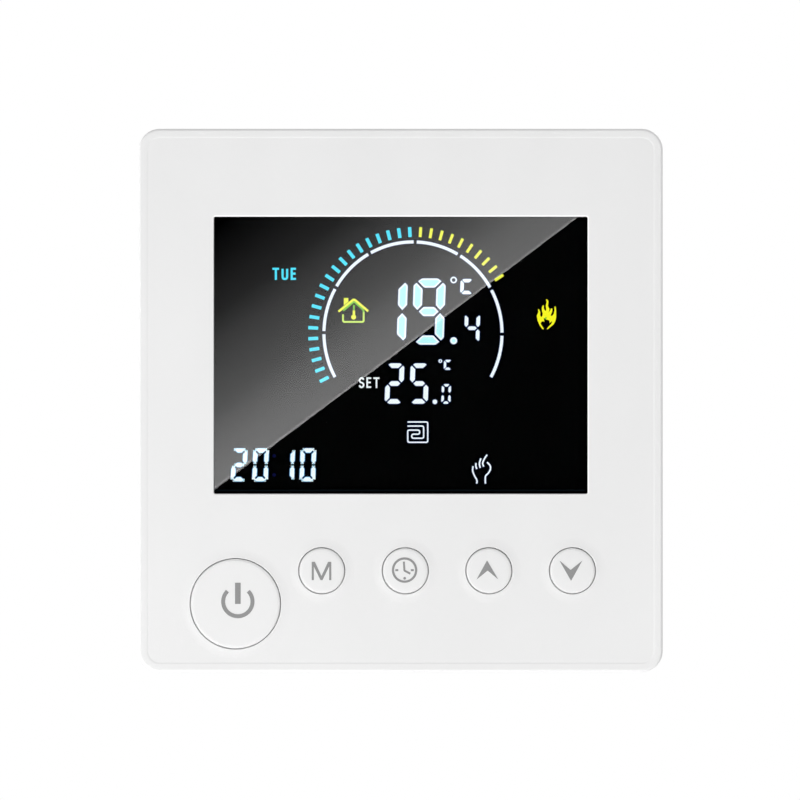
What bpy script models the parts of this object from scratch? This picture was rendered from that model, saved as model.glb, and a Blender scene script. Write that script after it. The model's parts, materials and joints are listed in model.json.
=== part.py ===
"""Wall thermostat with a colour display, one large and four small push buttons, on a flush wall box.

The object is modelled in metres. +Z is up, the display faces -Y, and y = 0 is the wall's surface.
The origin is midway between the two wall screws, on the wall's surface.
Every depth in the front half is worked out from the layers behind the face, front to back.
"""

import math

import bmesh
import bpy
from mathutils import Vector

MM = 0.001

# Overall sizes
FACE_WIDTH = 90.0 * MM
FACE_HEIGHT = 93.3 * MM
OUTER_RADIUS = 3.6 * MM

# Gaps
SEAT_GAP = 0.2 * MM  # between two pieces that rest on each other
REST_GAP = 0.3 * MM  # between a larger piece and what it rests on
RUNNING_GAP = 0.15 * MM  # between two pieces that slide on each other
CUT_OVERRUN = 1.0 * MM  # how far a cutter reaches past the wall it cuts

# Front cover
FACE_WALL = 2.0 * MM
SIDE_WALL = 1.8 * MM
EDGE_PROFILE = (  # (distance in from the side, distance behind the face) of the cover's front rim
    (0.00 * MM, 0.42 * MM),
    (0.03 * MM, 0.24 * MM),
    (0.12 * MM, 0.08 * MM),
    (0.26 * MM, -0.01 * MM),
    (0.42 * MM, -0.05 * MM),
    (1.38 * MM, -0.05 * MM),
    (1.62 * MM, 0.00 * MM),
)
WINDOW_SIDE_BORDER = 12.9 * MM
WINDOW_TOP_BORDER = 15.1 * MM
WINDOW_BOTTOM_BORDER = 30.6 * MM
WINDOW_CHAMFER = 0.25 * MM
WINDOW_LIP = 0.5 * MM  # the face in front of the lens
VENT_COUNT = 6
VENT_PITCH = 3.0 * MM
VENT_WIDTH = 1.4 * MM
VENT_LENGTH = 7.0 * MM
VENT_SIDE_INSET = 18.0 * MM
PRY_SLOT_WIDTH = 8.0 * MM
PRY_SLOT_DEPTH = 1.4 * MM
SNAP_LENGTH = 9.0 * MM
SNAP_HEIGHT = 0.35 * MM
SNAP_THICKNESS = 0.8 * MM
SNAP_CLEARANCE = 0.05 * MM
SNAP_SPREAD = 52.0 * MM

# Lens and display module
LENS_MARGIN = 1.6 * MM  # how far the lens reaches past the window, under the lip
LENS_THICKNESS = 1.2 * MM
LCD_MARGIN = 1.1 * MM
LCD_THICKNESS = 2.4 * MM
LCD_CONTACT_LEDGE = 3.0 * MM
HOLDER_WALL = 1.6 * MM
HOLDER_LEDGE = 0.6 * MM
HOLDER_LEDGE_WIDTH = 1.7 * MM
GUIDE_THICKNESS = 1.8 * MM
REFLECTOR_THICKNESS = 0.3 * MM
LED_STRIP_WIDTH = 1.0 * MM
LED_COUNT = 5
LED_SIZE = 1.4 * MM
CONNECTOR_WIDTH = 2.0 * MM

# Push buttons
BUTTON_TRAVEL = 0.4 * MM
BUTTON_PROUD = 0.30 * MM
BUTTON_GAP = 0.15 * MM
BUTTON_LIP = 0.6 * MM
BUTTON_LIP_THICKNESS = 0.75 * MM
BUTTON_TOP_WALL = 1.5 * MM
BUTTON_SKIRT = 1.0 * MM
BUTTON_POST_RADIUS = 1.4 * MM
BUTTON_CROWN = ((0.45, 1.0), (0.85, 0.85), (0.97, 0.5))  # (share of radius, share of height)
KEY_WIDTH = 1.0 * MM
KEY_LENGTH = 1.0 * MM
KEY_RIB = 0.8 * MM
COLLAR_WIDTH = 1.8 * MM
COLLAR_HEIGHT = 0.22 * MM
COLLAR_SWELLING = ((0.0, 1.0), (0.25, 0.85), (0.5, 0.5), (0.75, 0.15), (1.0, -0.05))  # shares of width and height
SMALL_BUTTON_RADIUS = 3.88 * MM
SMALL_BUTTON_RISE = 13.52 * MM  # from the cover's bottom edge to the rims' lowest point
SMALL_BUTTON_SIDE_GAP = 11.62 * MM  # from the cover's right side to the last rim
POWER_BUTTON_RADIUS = 7.68 * MM
POWER_BUTTON_RISE = 4.05 * MM
POWER_BUTTON_SIDE_GAP = 8.94 * MM
POWER_TO_SMALL_GAP = 3.27 * MM  # sideways, from the power button's rim to the next one
SMALL_BUTTON_NAMES = ("mode", "clock", "up", "down")

# Display board and what it carries
BOARD_THICKNESS = 1.6 * MM
BOARD_EDGE_GAP = 1.2 * MM
BOARD_RADIUS = 1.0 * MM
BOARD_REAR_ROOM = 4.3 * MM  # from the board to the wall plate
TACT_SIZE = 6.0 * MM
TACT_HEIGHT = 3.5 * MM
TACT_COLLAR_RADIUS = 2.3 * MM
TACT_COLLAR_HEIGHT = 0.3 * MM
TACT_LEG_WIDTH = 0.8 * MM
TACT_LEG_REACH = 1.0 * MM
TACT_LEG_THICKNESS = 0.3 * MM
PLUNGER_RADIUS = 1.7 * MM
PLUNGER_BEVEL = 0.2 * MM
PLUNGER_SEAT = 0.7 * MM  # how deep the plunger stands in its switch at rest
BOSS_RADIUS = 2.2 * MM
BOSS_INSET = 3.2 * MM
PEG_RADIUS = 1.0 * MM
BOARD_SCREW_RADIUS = 1.0 * MM
BOARD_SCREW_HEAD_RADIUS = 1.9 * MM
BOARD_SCREW_HEAD = 1.3 * MM
BOARD_SCREW_LENGTH = 6.0 * MM
SCREW_HOLE_GAP = 0.2 * MM
CHIP_SIZE = 10.0 * MM
CHIP_THICKNESS = 1.4 * MM
CHIP_LEGS_PER_SIDE = 8
CHIP_LEG_PITCH = 1.1 * MM
CHIP_LEG_REACH = 1.0 * MM
CHIP_LEG_ROOT = 0.2 * MM  # how far the legs are let into the body
CHIP_LEG_WIDTH = 0.5 * MM
CHIP_LEG_THICKNESS = 0.3 * MM
CHIP_PLACE = (-14.0 * MM, 8.0 * MM)
CELL_RADIUS = 6.25 * MM
CELL_THICKNESS = 2.0 * MM
CELL_BEVEL = 0.25 * MM
CELL_PLACE = (-14.0 * MM, -22.0 * MM)
CELL_STRAP = 0.3 * MM
CELL_STRAP_WIDTH = 5.0 * MM
CELL_STRAP_LEG = 3.0 * MM  # its legs are narrower than its bridge
PIN_PITCH = 2.54 * MM
PIN_COLUMNS = 4
PIN_ROWS = 2
PIN_SIZE = 0.64 * MM
PIN_SOCKET_SIZE = 1.0 * MM
PIN_PLACE = (10.5 * MM, 12.0 * MM)
PIN_STRIP_HEIGHT = 2.4 * MM
PIN_HOLE_MARGIN = 1.0 * MM
PIN_TIP_GAP = 0.6 * MM
SOCKET_MARGIN = 0.25 * MM
SENSOR_RADIUS = 1.2 * MM
SENSOR_LEG = 0.4 * MM
BEAD_STEPS = 7
SENSOR_RISE = 3.6 * MM  # from the board's bottom edge

# Rear housing: wall plate and the box that sinks into the wall
PLATE_THICKNESS = 2.4 * MM
PLATE_GAP = 0.4 * MM  # between the plate's edge and the cover's inside
RIM_WIDTH = 1.4 * MM
RIM_TO_BOARD = 1.5 * MM
BOX_WALL = 1.8 * MM
BOX_RADIUS = 2.5 * MM
BOX_HEIGHT = 54.0 * MM
BOX_VENT_COUNT = 7
BOX_SIDE_VENT_COUNT = 3
BOX_VENT_PITCH = 5.0 * MM
BOX_VENT_WIDTH = 1.5 * MM
BOX_VENT_LENGTH = 14.0 * MM
WALL_SCREW_GAP = 5.2 * MM  # from the box's side to a screw's axis, which puts the screws 60 mm apart
WALL_SCREW_RADIUS = 1.9 * MM
WALL_SCREW_LENGTH = 25.0 * MM
WALL_SCREW_HEAD_RADIUS = 3.7 * MM
WALL_SCREW_HEAD = 2.4 * MM
WALL_SLOT_GAP = 0.4 * MM
WALL_SLOT_LENGTH = 4.0 * MM  # how far the slot lets the plate shift sideways
SLOT_END = 0.499  # the slot's end radius as a share of its width, just under a full half round
INNER_COVER_THICKNESS = 1.8 * MM
INNER_COVER_GAP = 0.3 * MM
INNER_BOARD_DROP = 1.4 * MM  # from the wall's surface to the power board's front
COVER_SCREW_RADIUS = 1.1 * MM
COVER_SCREW_HEAD_RADIUS = 2.1 * MM
COVER_SCREW_HEAD = 1.4 * MM
COVER_SCREW_LENGTH = 12.0 * MM
POST_RADIUS = 2.5 * MM
POST_INSET = 3.3 * MM
SUPPORT_SIZE = 2.4 * MM
SCREW_TIP = (0.35, 0.85)  # (share of the shank's radius, where its taper starts along the length)
SCREW_HEAD = ((1.0, 0.0), (1.0, 0.5), (0.8, 0.9), (0.5, 1.0))  # (share of radius, share of height)
SLOT_REACH = 0.55  # a cross recess's arm, as a share of its head's radius
SLOT_WIDTH = 0.11
SLOT_DEPTH = 0.55  # as a share of the head's height

# Terminal block
TERMINAL_WAYS = 6
TERMINAL_PITCH = 7.5 * MM
TERMINAL_HEIGHT = 23.2 * MM
TERMINAL_DEPTH = 11.0 * MM
TERMINAL_END = 0.2 * MM
TERMINAL_RECESS = 0.6 * MM
TERMINAL_SCREW_RADIUS = 1.5 * MM
TERMINAL_HEAD_RADIUS = 2.2 * MM
TERMINAL_HEAD = 2.0 * MM
TERMINAL_HEAD_RECESS = 1.2 * MM
TERMINAL_NECK = 1.2 * MM
TERMINAL_BEVEL = 0.3 * MM
TERMINAL_SLOT_WIDTH = 0.7 * MM
TERMINAL_SLOT_DEPTH = 0.9 * MM
CLAMP_WIDTH = 5.0 * MM
CLAMP_DEPTH = 4.6 * MM
CLAMP_THREAD_WALL = 1.4 * MM
CLAMP_FLOOR = 1.0 * MM
CLAMP_TRAVEL = 2.5 * MM
CLAMP_GAP = 0.3 * MM
THREAD_GAP = 0.08 * MM
WIRE_HOLE = 3.6 * MM

# Parts on the power board: (width, height up the wall, depth into the box)
RELAY_SIZE = (15.4 * MM, 19.2 * MM, 15.6 * MM)
FILTER_CAPACITOR_SIZE = (17.5 * MM, 7.0 * MM, 13.0 * MM)
FUSE_SIZE = (8.4 * MM, 4.0 * MM, 7.8 * MM)
LARGE_CAPACITOR = (5.1 * MM, 16.0 * MM)  # (radius, length)
SMALL_CAPACITOR = (4.0 * MM, 11.5 * MM)
CAN_PROFILE = (  # (share of radius, share of length), with the crimp near the foot
    (1.0, 0.0),
    (1.0, 0.08),
    (0.93, 0.12),
    (1.0, 0.16),
    (1.0, 0.97),
    (0.94, 1.0),
)
SURGE_DISC = (5.0 * MM, 3.6 * MM)
DISC_PROFILE = ((0.85, -0.5), (1.0, -0.25), (1.0, 0.25), (0.85, 0.5))
DISC_STANDOFF = 1.5 * MM
CORE_SIZE = (16.0 * MM, 14.0 * MM, 5.0 * MM)
CORE_LEG = 2.5 * MM
CORE_CENTRE_LEG = 4.0 * MM
WINDING_GAP = 0.3 * MM
WINDING_BUILD = 3.0 * MM
WINDING_RADIUS = 1.2 * MM
BLOCK_RADIUS = 0.6 * MM
PART_GAP = 2.0 * MM  # between neighbours on the power board

CORNER_STEPS = 5
LEAST_FACETS = 12
MOST_FACETS = 36
FACET_GROWTH = 2.4 * MM  # each further step of radius adds four sides

MATERIALS = {  # name: (red, green, blue), roughness, metallic
    "white_plastic": ((0.82, 0.82, 0.82), 0.35, 0.0),
    "button_plastic": ((0.84, 0.84, 0.84), 0.30, 0.0),
    "smoked_lens": ((0.02, 0.02, 0.02), 0.05, 0.0),
    "display_glass": ((0.004, 0.004, 0.006), 0.10, 0.0),
    "holder_plastic": ((0.75, 0.75, 0.74), 0.50, 0.0),
    "light_guide": ((0.85, 0.88, 0.90), 0.08, 0.0),
    "reflector_film": ((0.90, 0.90, 0.90), 0.40, 0.0),
    "circuit_board": ((0.02, 0.18, 0.07), 0.40, 0.0),
    "dark_plastic": ((0.03, 0.03, 0.03), 0.45, 0.0),
    "connector_rubber": ((0.25, 0.25, 0.27), 0.80, 0.0),
    "steel": ((0.60, 0.60, 0.60), 0.30, 1.0),
    "brass": ((0.70, 0.52, 0.25), 0.35, 1.0),
    "relay_blue": ((0.03, 0.12, 0.45), 0.35, 0.0),
    "ferrite": ((0.06, 0.06, 0.06), 0.60, 0.0),
    "winding_tape": ((0.80, 0.62, 0.10), 0.45, 0.0),
    "capacitor_yellow": ((0.75, 0.55, 0.08), 0.40, 0.0),
    "capacitor_sleeve": ((0.02, 0.03, 0.10), 0.30, 0.0),
    "disc_blue": ((0.05, 0.15, 0.40), 0.45, 0.0),
    "terminal_plastic": ((0.10, 0.30, 0.14), 0.45, 0.0),
    "sensor_epoxy": ((0.05, 0.05, 0.05), 0.40, 0.0),
}

# Where each layer of the front half lies, from the wall plate forwards to the face
PLATE_FRONT = -PLATE_THICKNESS
BOARD_BACK = PLATE_FRONT - BOARD_REAR_ROOM
BOARD_FRONT = BOARD_BACK - BOARD_THICKNESS
REFLECTOR_BACK = BOARD_FRONT - REST_GAP
GUIDE_BACK = REFLECTOR_BACK - REFLECTOR_THICKNESS - SEAT_GAP
LEDGE_BACK = GUIDE_BACK - GUIDE_THICKNESS - SEAT_GAP
LCD_BACK = LEDGE_BACK - HOLDER_LEDGE - SEAT_GAP
LCD_FRONT = LCD_BACK - LCD_THICKNESS
INNER_FACE = LCD_FRONT - SEAT_GAP
FACE = INNER_FACE - FACE_WALL
LENS_FRONT = FACE + WINDOW_LIP + SEAT_GAP
RIM_HEIGHT = BOARD_REAR_ROOM - RIM_TO_BOARD
SOCKET_HEIGHT = BOARD_REAR_ROOM - SEAT_GAP - REST_GAP
SENSOR_STANDOFF = BOARD_REAR_ROOM - 2 * SENSOR_RADIUS - REST_GAP

# Where things lie across the face
HALF_WIDTH = FACE_WIDTH / 2
HALF_HEIGHT = FACE_HEIGHT / 2
WINDOW_WIDTH = FACE_WIDTH - 2 * WINDOW_SIDE_BORDER
WINDOW_HEIGHT = FACE_HEIGHT - WINDOW_TOP_BORDER - WINDOW_BOTTOM_BORDER
WINDOW_Z = HALF_HEIGHT - WINDOW_TOP_BORDER - WINDOW_HEIGHT / 2
INSIDE_WIDTH = FACE_WIDTH - 2 * SIDE_WALL
INSIDE_HEIGHT = FACE_HEIGHT - 2 * SIDE_WALL
BOARD_WIDTH = INSIDE_WIDTH - 2 * BOARD_EDGE_GAP
BOARD_HEIGHT = INSIDE_HEIGHT - 2 * BOARD_EDGE_GAP
PLATE_WIDTH = INSIDE_WIDTH - 2 * PLATE_GAP
PLATE_HEIGHT = INSIDE_HEIGHT - 2 * PLATE_GAP
BOSS_X = BOARD_WIDTH / 2 - BOSS_INSET
BOSS_Z = BOARD_HEIGHT / 2 - BOSS_INSET

# The display module, behind the window
LCD_WIDTH = WINDOW_WIDTH + 2 * LCD_MARGIN
LCD_HEIGHT = WINDOW_HEIGHT + 2 * LCD_MARGIN
HOLDER_WIDTH = LCD_WIDTH + 2 * (SEAT_GAP + HOLDER_WALL)
HOLDER_HEIGHT = LCD_HEIGHT + 2 * (SEAT_GAP + HOLDER_WALL)

# The box in the wall takes its width and depth from the terminal block
TERMINAL_WIDTH = TERMINAL_WAYS * TERMINAL_PITCH + 2 * TERMINAL_END
BOX_INSIDE_WIDTH = TERMINAL_WIDTH + 2 * REST_GAP
BOX_WIDTH = BOX_INSIDE_WIDTH + 2 * BOX_WALL
BOX_INSIDE_HEIGHT = BOX_HEIGHT - 2 * BOX_WALL
WALL_SCREW_X = BOX_WIDTH / 2 + WALL_SCREW_GAP
POWER_BOARD_BACK = INNER_BOARD_DROP + BOARD_THICKNESS
TERMINAL_FRONT = POWER_BOARD_BACK + SEAT_GAP
TERMINAL_BACK = TERMINAL_FRONT + TERMINAL_HEIGHT
BOX_BACK = TERMINAL_BACK + TERMINAL_RECESS
TERMINAL_BOTTOM = -BOX_INSIDE_HEIGHT / 2 + REST_GAP
TERMINAL_Z = TERMINAL_BOTTOM + TERMINAL_DEPTH / 2
POST_X = BOX_INSIDE_WIDTH / 2 - POST_INSET
POST_Z = BOX_INSIDE_HEIGHT / 2 - POST_INSET
SUPPORT_Z = TERMINAL_BOTTOM + TERMINAL_DEPTH + REST_GAP + SUPPORT_SIZE / 2
COVER_FRONT = PLATE_FRONT
COVER_BACK = COVER_FRONT + INNER_COVER_THICKNESS

# Depths inside the terminal block, from the wall box's back
HEAD_BACK = TERMINAL_BACK - TERMINAL_HEAD_RECESS
HEAD_FRONT = HEAD_BACK - TERMINAL_HEAD
NECK_BACK = HEAD_FRONT - SEAT_GAP
NECK_FRONT = NECK_BACK - TERMINAL_NECK
CLAMP_HEIGHT = CLAMP_FLOOR + WIRE_HOLE + SEAT_GAP + CLAMP_THREAD_WALL
CLAMP_BACK = NECK_FRONT - CLAMP_GAP - CLAMP_TRAVEL
CLAMP_FRONT = CLAMP_BACK - CLAMP_HEIGHT
CLAMP_ROOM_FRONT = CLAMP_FRONT - CLAMP_GAP
WIRE_Y = CLAMP_FRONT + CLAMP_FLOOR + (WIRE_HOLE + SEAT_GAP) / 2


def clear_scene():
    """Removes every object and mesh that the file starts with."""
    for obj in list(bpy.data.objects):
        bpy.data.objects.remove(obj)
    for mesh in list(bpy.data.meshes):
        bpy.data.meshes.remove(mesh)


def make_materials():
    """One plain Principled material for each name in MATERIALS."""
    made = {}
    for name, (colour, roughness, metallic) in MATERIALS.items():
        material = bpy.data.materials.new(name)
        material.use_nodes = True
        shader = material.node_tree.nodes["Principled BSDF"]
        shader.inputs["Base Color"].default_value = (*colour, 1.0)
        shader.inputs["Roughness"].default_value = roughness
        shader.inputs["Metallic"].default_value = metallic
        made[name] = material
    return made


def make_empty(name):
    """An empty at the origin, which one half of the thermostat hangs on."""
    empty = bpy.data.objects.new(name, None)
    bpy.context.scene.collection.objects.link(empty)
    return empty


# Shapes. Each function returns a bmesh round the object's own origin.


def outline(width, height, radius, steps=CORNER_STEPS):
    """The (x, z) points of a rectangle with round corners, in order."""
    points = []
    for quarter in range(4):
        sign_x = 1 if quarter in (0, 3) else -1
        sign_z = 1 if quarter in (0, 1) else -1
        for step in range(steps + 1):
            angle = math.radians(90) * (quarter + step / steps)
            x = sign_x * (width / 2 - radius) + radius * math.cos(angle)
            z = sign_z * (height / 2 - radius) + radius * math.sin(angle)
            points.append((x, z))
    return points


def circle(radius, steps):
    """The (x, z) points of a circle, in order."""
    turn = 2 * math.pi / steps
    return [(radius * math.cos(turn * i), radius * math.sin(turn * i)) for i in range(steps)]


def facets(radius):
    """How many sides a round shape has: more on a larger one."""
    return min(4 * round(LEAST_FACETS / 4 + radius / FACET_GROWTH), MOST_FACETS)


def loft(layers, closed=False):
    """A skin over layers, each a list of (x, z) points and its y.

    Args:
        layers: (points, y) pairs with as many points each.
        closed: joins the last layer to the first, for a ring, where False caps both ends.
    """
    shape = bmesh.new()
    rings = [[shape.verts.new((x, y, z)) for x, z in points] for points, y in layers]
    pairs = list(zip(rings, rings[1:] + rings[:1])) if closed else list(zip(rings, rings[1:]))
    for first, second in pairs:
        count = len(first)
        for i in range(count):
            after = (i + 1) % count
            shape.faces.new((first[i], first[after], second[after], second[i]))
    if not closed:
        shape.faces.new(rings[0])
        shape.faces.new(rings[-1])
    bmesh.ops.recalc_face_normals(shape, faces=shape.faces)
    return shape


def turned(profile):
    """A shape turned round the y axis from (radius, y) points that start and end at a flat disc."""
    steps = facets(max(radius for radius, _ in profile))
    return loft([(circle(radius, steps), y) for radius, y in profile])


def plate(width, height, radius, front, back):
    """A flat plate with round corners between two depths."""
    points = outline(width, height, radius)
    return loft([(points, front), (points, back)])


def boxes(items):
    """One mesh of separate boxes, each given as its centre and its size."""
    shape = bmesh.new()
    for centre, size in items:
        made = bmesh.ops.create_cube(shape, size=1.0)
        bmesh.ops.scale(shape, vec=Vector(size), verts=made["verts"])
        bmesh.ops.translate(shape, vec=Vector(centre), verts=made["verts"])
    return shape


def joined(shapes):
    """One mesh that holds every shape, each still a body of its own."""
    whole = bmesh.new()
    for shape in shapes:
        mesh = bpy.data.meshes.new("shape")
        shape.to_mesh(mesh)
        shape.free()
        whole.from_mesh(mesh)
        bpy.data.meshes.remove(mesh)
    return whole


def moved(shape, place):
    """The same shape, moved to place."""
    bmesh.ops.translate(shape, vec=Vector(place), verts=shape.verts)
    return shape


def bores(places, radius, front, back):
    """One mesh of separate round bars along y, at each (x, z) place."""
    return joined(moved(turned([(radius, front), (radius, back)]), (x, 0, z)) for x, z in places)


def between(low, high):
    """The centre and size of the box between two corners."""
    centre = tuple((a + b) / 2 for a, b in zip(low, high))
    size = tuple(b - a for a, b in zip(low, high))
    return centre, size


class Bench:
    """Makes the objects, with their materials, parents and Boolean cuts."""

    def __init__(self):
        self.materials = make_materials()
        self.halves = {"front": make_empty("front_assembly"), "rear": make_empty("rear_assembly")}
        self.cutters = 0

    def node(self, name, shape, material, half, place=(0, 0, 0), smooth=None):
        """A named sub-part, placed on one half of the thermostat."""
        obj = self.place(name, shape, place)
        obj.data.materials.append(self.materials[material])
        obj.parent = self.halves[half]
        if smooth:
            obj.data.shade_smooth()
            obj.data.set_sharp_from_angle(angle=math.radians(smooth))
        return obj

    def place(self, name, shape, place):
        """An object from a bmesh, with its origin at place."""
        mesh = bpy.data.meshes.new(name)
        shape.to_mesh(mesh)
        shape.free()
        obj = bpy.data.objects.new(name, mesh)
        obj.location = place
        bpy.context.scene.collection.objects.link(obj)
        return obj

    def combine(self, target, shape, operation, place=(0, 0, 0)):
        """Joins a shape to target, or cuts it out, with a live Boolean modifier."""
        self.cutters += 1
        tool = self.place(f"{target.name}_{operation.lower()}_{self.cutters}", shape, place)
        tool.parent = target.parent
        tool.hide_render = True
        tool.display_type = "WIRE"
        modifier = target.modifiers.new(tool.name, "BOOLEAN")
        modifier.operation = operation
        modifier.solver = "EXACT"
        modifier.object = tool

    def cut(self, target, shape, place=(0, 0, 0)):
        """Cuts a shape out of target."""
        self.combine(target, shape, "DIFFERENCE", place)

    def add(self, target, shape, place=(0, 0, 0)):
        """Joins a shape to target."""
        self.combine(target, shape, "UNION", place)


def button_places():
    """The name, radius, x and z of each push button."""
    power_x = -HALF_WIDTH + POWER_BUTTON_SIDE_GAP + POWER_BUTTON_RADIUS
    power_z = -HALF_HEIGHT + POWER_BUTTON_RISE + POWER_BUTTON_RADIUS
    small_z = -HALF_HEIGHT + SMALL_BUTTON_RISE + SMALL_BUTTON_RADIUS
    first_x = power_x + POWER_BUTTON_RADIUS + POWER_TO_SMALL_GAP + SMALL_BUTTON_RADIUS
    last_x = HALF_WIDTH - SMALL_BUTTON_SIDE_GAP - SMALL_BUTTON_RADIUS
    pitch = (last_x - first_x) / (len(SMALL_BUTTON_NAMES) - 1)
    places = [("power", POWER_BUTTON_RADIUS, power_x, power_z)]
    for i, name in enumerate(SMALL_BUTTON_NAMES):
        places.append((name, SMALL_BUTTON_RADIUS, first_x + i * pitch, small_z))
    return places


def terminal_places():
    """The x of each way of the terminal block."""
    first = -(TERMINAL_WAYS - 1) / 2 * TERMINAL_PITCH
    return [first + i * TERMINAL_PITCH for i in range(TERMINAL_WAYS)]


def post_places():
    """Where the rear box's two screw posts stand."""
    return [(-POST_X, POST_Z), (POST_X, POST_Z)]


def pin_field(margin, front, back):
    """The box round the pins, with a margin on each side, between two depths."""
    x, z = PIN_PLACE
    half_width = PIN_COLUMNS * PIN_PITCH / 2 + margin
    half_height = PIN_ROWS * PIN_PITCH / 2 + margin
    return between((x - half_width, front, z - half_height), (x + half_width, back, z + half_height))


def pin_places():
    """Where the pins between the two boards stand."""
    return [
        (
            PIN_PLACE[0] + (column - (PIN_COLUMNS - 1) / 2) * PIN_PITCH,
            PIN_PLACE[1] + (row - (PIN_ROWS - 1) / 2) * PIN_PITCH,
        )
        for column in range(PIN_COLUMNS)
        for row in range(PIN_ROWS)
    ]


# The front half


def build_front_cover(bench):
    """The white tray that shows: face, sides, window, button holes, bosses, snaps and vents."""
    inside = outline(INSIDE_WIDTH, INSIDE_HEIGHT, OUTER_RADIUS - SIDE_WALL)
    layers = [(inside, INNER_FACE), (inside, -REST_GAP)]
    layers.append((outline(FACE_WIDTH, FACE_HEIGHT, OUTER_RADIUS), -REST_GAP))
    for inset, drop in EDGE_PROFILE:
        points = outline(FACE_WIDTH - 2 * inset, FACE_HEIGHT - 2 * inset, OUTER_RADIUS - inset)
        layers.append((points, FACE + drop))
    cover = bench.node("front_cover", loft(layers), "white_plastic", "front", smooth=20)

    bench.add(cover, cover_bosses())
    bench.add(cover, cover_pegs())
    bench.add(cover, snap_bumps())
    bench.add(cover, key_ribs())
    for _, radius, x, z in button_places():
        bench.add(cover, button_collar(radius), (x, FACE, z))
        bench.cut(cover, button_hole(radius), (x, FACE, z))
    bench.cut(cover, window_cutter(), (0, 0, WINDOW_Z))
    bench.cut(cover, lens_pocket(), (0, 0, WINDOW_Z))
    screw_places = [(-BOSS_X, -BOSS_Z), (BOSS_X, BOSS_Z)]
    pilot = BOARD_SCREW_RADIUS + THREAD_GAP
    pilot_front = BOARD_BACK - BOARD_SCREW_LENGTH - SEAT_GAP
    bench.cut(cover, bores(screw_places, pilot, pilot_front, BOARD_FRONT + CUT_OVERRUN))
    bench.cut(cover, wall_openings())


def cover_bosses():
    """Four posts behind the face that carry the display board."""
    places = [(x, z) for x in (-BOSS_X, BOSS_X) for z in (-BOSS_Z, BOSS_Z)]
    return bores(places, BOSS_RADIUS, INNER_FACE - FACE_WALL / 2, BOARD_FRONT - SEAT_GAP)


def cover_pegs():
    """Locating pegs on the two bosses that hold no screw."""
    places = [(-BOSS_X, BOSS_Z), (BOSS_X, -BOSS_Z)]
    boss_back = BOARD_FRONT - SEAT_GAP
    return bores(places, PEG_RADIUS, boss_back - FACE_WALL, BOARD_BACK)


def snap_places():
    """The side (-1 left, 1 right) and z of each snap."""
    return [(side, z) for side in (-1, 1) for z in (-SNAP_SPREAD / 2, SNAP_SPREAD / 2)]


def snap_bumps():
    """Bumps inside the cover's sides, which sit in grooves in the plate's rim."""
    reach = SIDE_WALL / 2
    return boxes(
        [
            (
                (side * (INSIDE_WIDTH / 2 + (reach - SNAP_HEIGHT) / 2), snap_y(), z),
                (SNAP_HEIGHT + reach, SNAP_THICKNESS, SNAP_LENGTH),
            )
            for side, z in snap_places()
        ]
    )


def snap_y():
    """The depth of the snaps' middle, halfway up the plate's rim."""
    return PLATE_FRONT - RIM_HEIGHT / 2


def key_ribs():
    """Pairs of ribs behind the face that stop each button from turning."""
    items = []
    rib_back = INNER_FACE + REST_GAP + BUTTON_LIP_THICKNESS + BUTTON_TRAVEL
    for _, radius, x, z in button_places():
        low_z = z + radius + BUTTON_LIP + RUNNING_GAP
        offset = KEY_WIDTH / 2 + RUNNING_GAP + KEY_RIB / 2
        for side in (-1, 1):
            low = (x + side * offset - KEY_RIB / 2, INNER_FACE - FACE_WALL / 2, low_z)
            high = (x + side * offset + KEY_RIB / 2, rib_back, low_z + KEY_LENGTH)
            items.append(between(low, high))
    return boxes(items)


def button_collar(radius):
    """The low swelling of the face round a button."""
    hole = radius + BUTTON_GAP
    profile = [(hole + COLLAR_WIDTH * across, -COLLAR_HEIGHT * up) for across, up in COLLAR_SWELLING]
    return turned([*profile, (hole + COLLAR_WIDTH, FACE_WALL / 2)])


def button_hole(radius):
    """A button's hole through the face and the collar round it."""
    hole = radius + BUTTON_GAP
    return turned([(hole, -COLLAR_HEIGHT - CUT_OVERRUN), (hole, FACE_WALL + CUT_OVERRUN)])


def window_cutter():
    """The window through the face, a little wider at the front."""
    wide = 2 * WINDOW_CHAMFER
    mouth = outline(WINDOW_WIDTH + wide, WINDOW_HEIGHT + wide, 2 * WINDOW_CHAMFER)
    throat = outline(WINDOW_WIDTH, WINDOW_HEIGHT, WINDOW_CHAMFER)
    return loft(
        [
            (mouth, FACE - CUT_OVERRUN),
            (mouth, FACE),
            (throat, FACE + WINDOW_CHAMFER),
            (throat, INNER_FACE + CUT_OVERRUN),
        ]
    )


def lens_pocket():
    """The pocket behind the window's lip that the lens lies in."""
    wide = 2 * (LENS_MARGIN + SEAT_GAP)
    return plate(
        WINDOW_WIDTH + wide,
        WINDOW_HEIGHT + wide,
        WINDOW_CHAMFER,
        FACE + WINDOW_LIP,
        INNER_FACE + CUT_OVERRUN,
    )


def wall_openings():
    """Air slots in the cover's top and bottom, and the slot that a screwdriver opens it by."""
    items = []
    middle_y = (BOARD_BACK + PLATE_FRONT) / 2 - RIM_HEIGHT / 2
    for i in range(VENT_COUNT):
        x = HALF_WIDTH - VENT_SIDE_INSET - i * VENT_PITCH
        for side in (-1, 1):
            z = side * (HALF_HEIGHT - SIDE_WALL / 2)
            items.append(((x, middle_y, z), (VENT_WIDTH, VENT_LENGTH, 2 * SIDE_WALL)))
    slot_z = -HALF_HEIGHT + SIDE_WALL / 2
    low = (-PRY_SLOT_WIDTH / 2, -REST_GAP - PRY_SLOT_DEPTH, slot_z - SIDE_WALL)
    high = (PRY_SLOT_WIDTH / 2, CUT_OVERRUN, slot_z + SIDE_WALL)
    items.append(between(low, high))
    return boxes(items)


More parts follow.
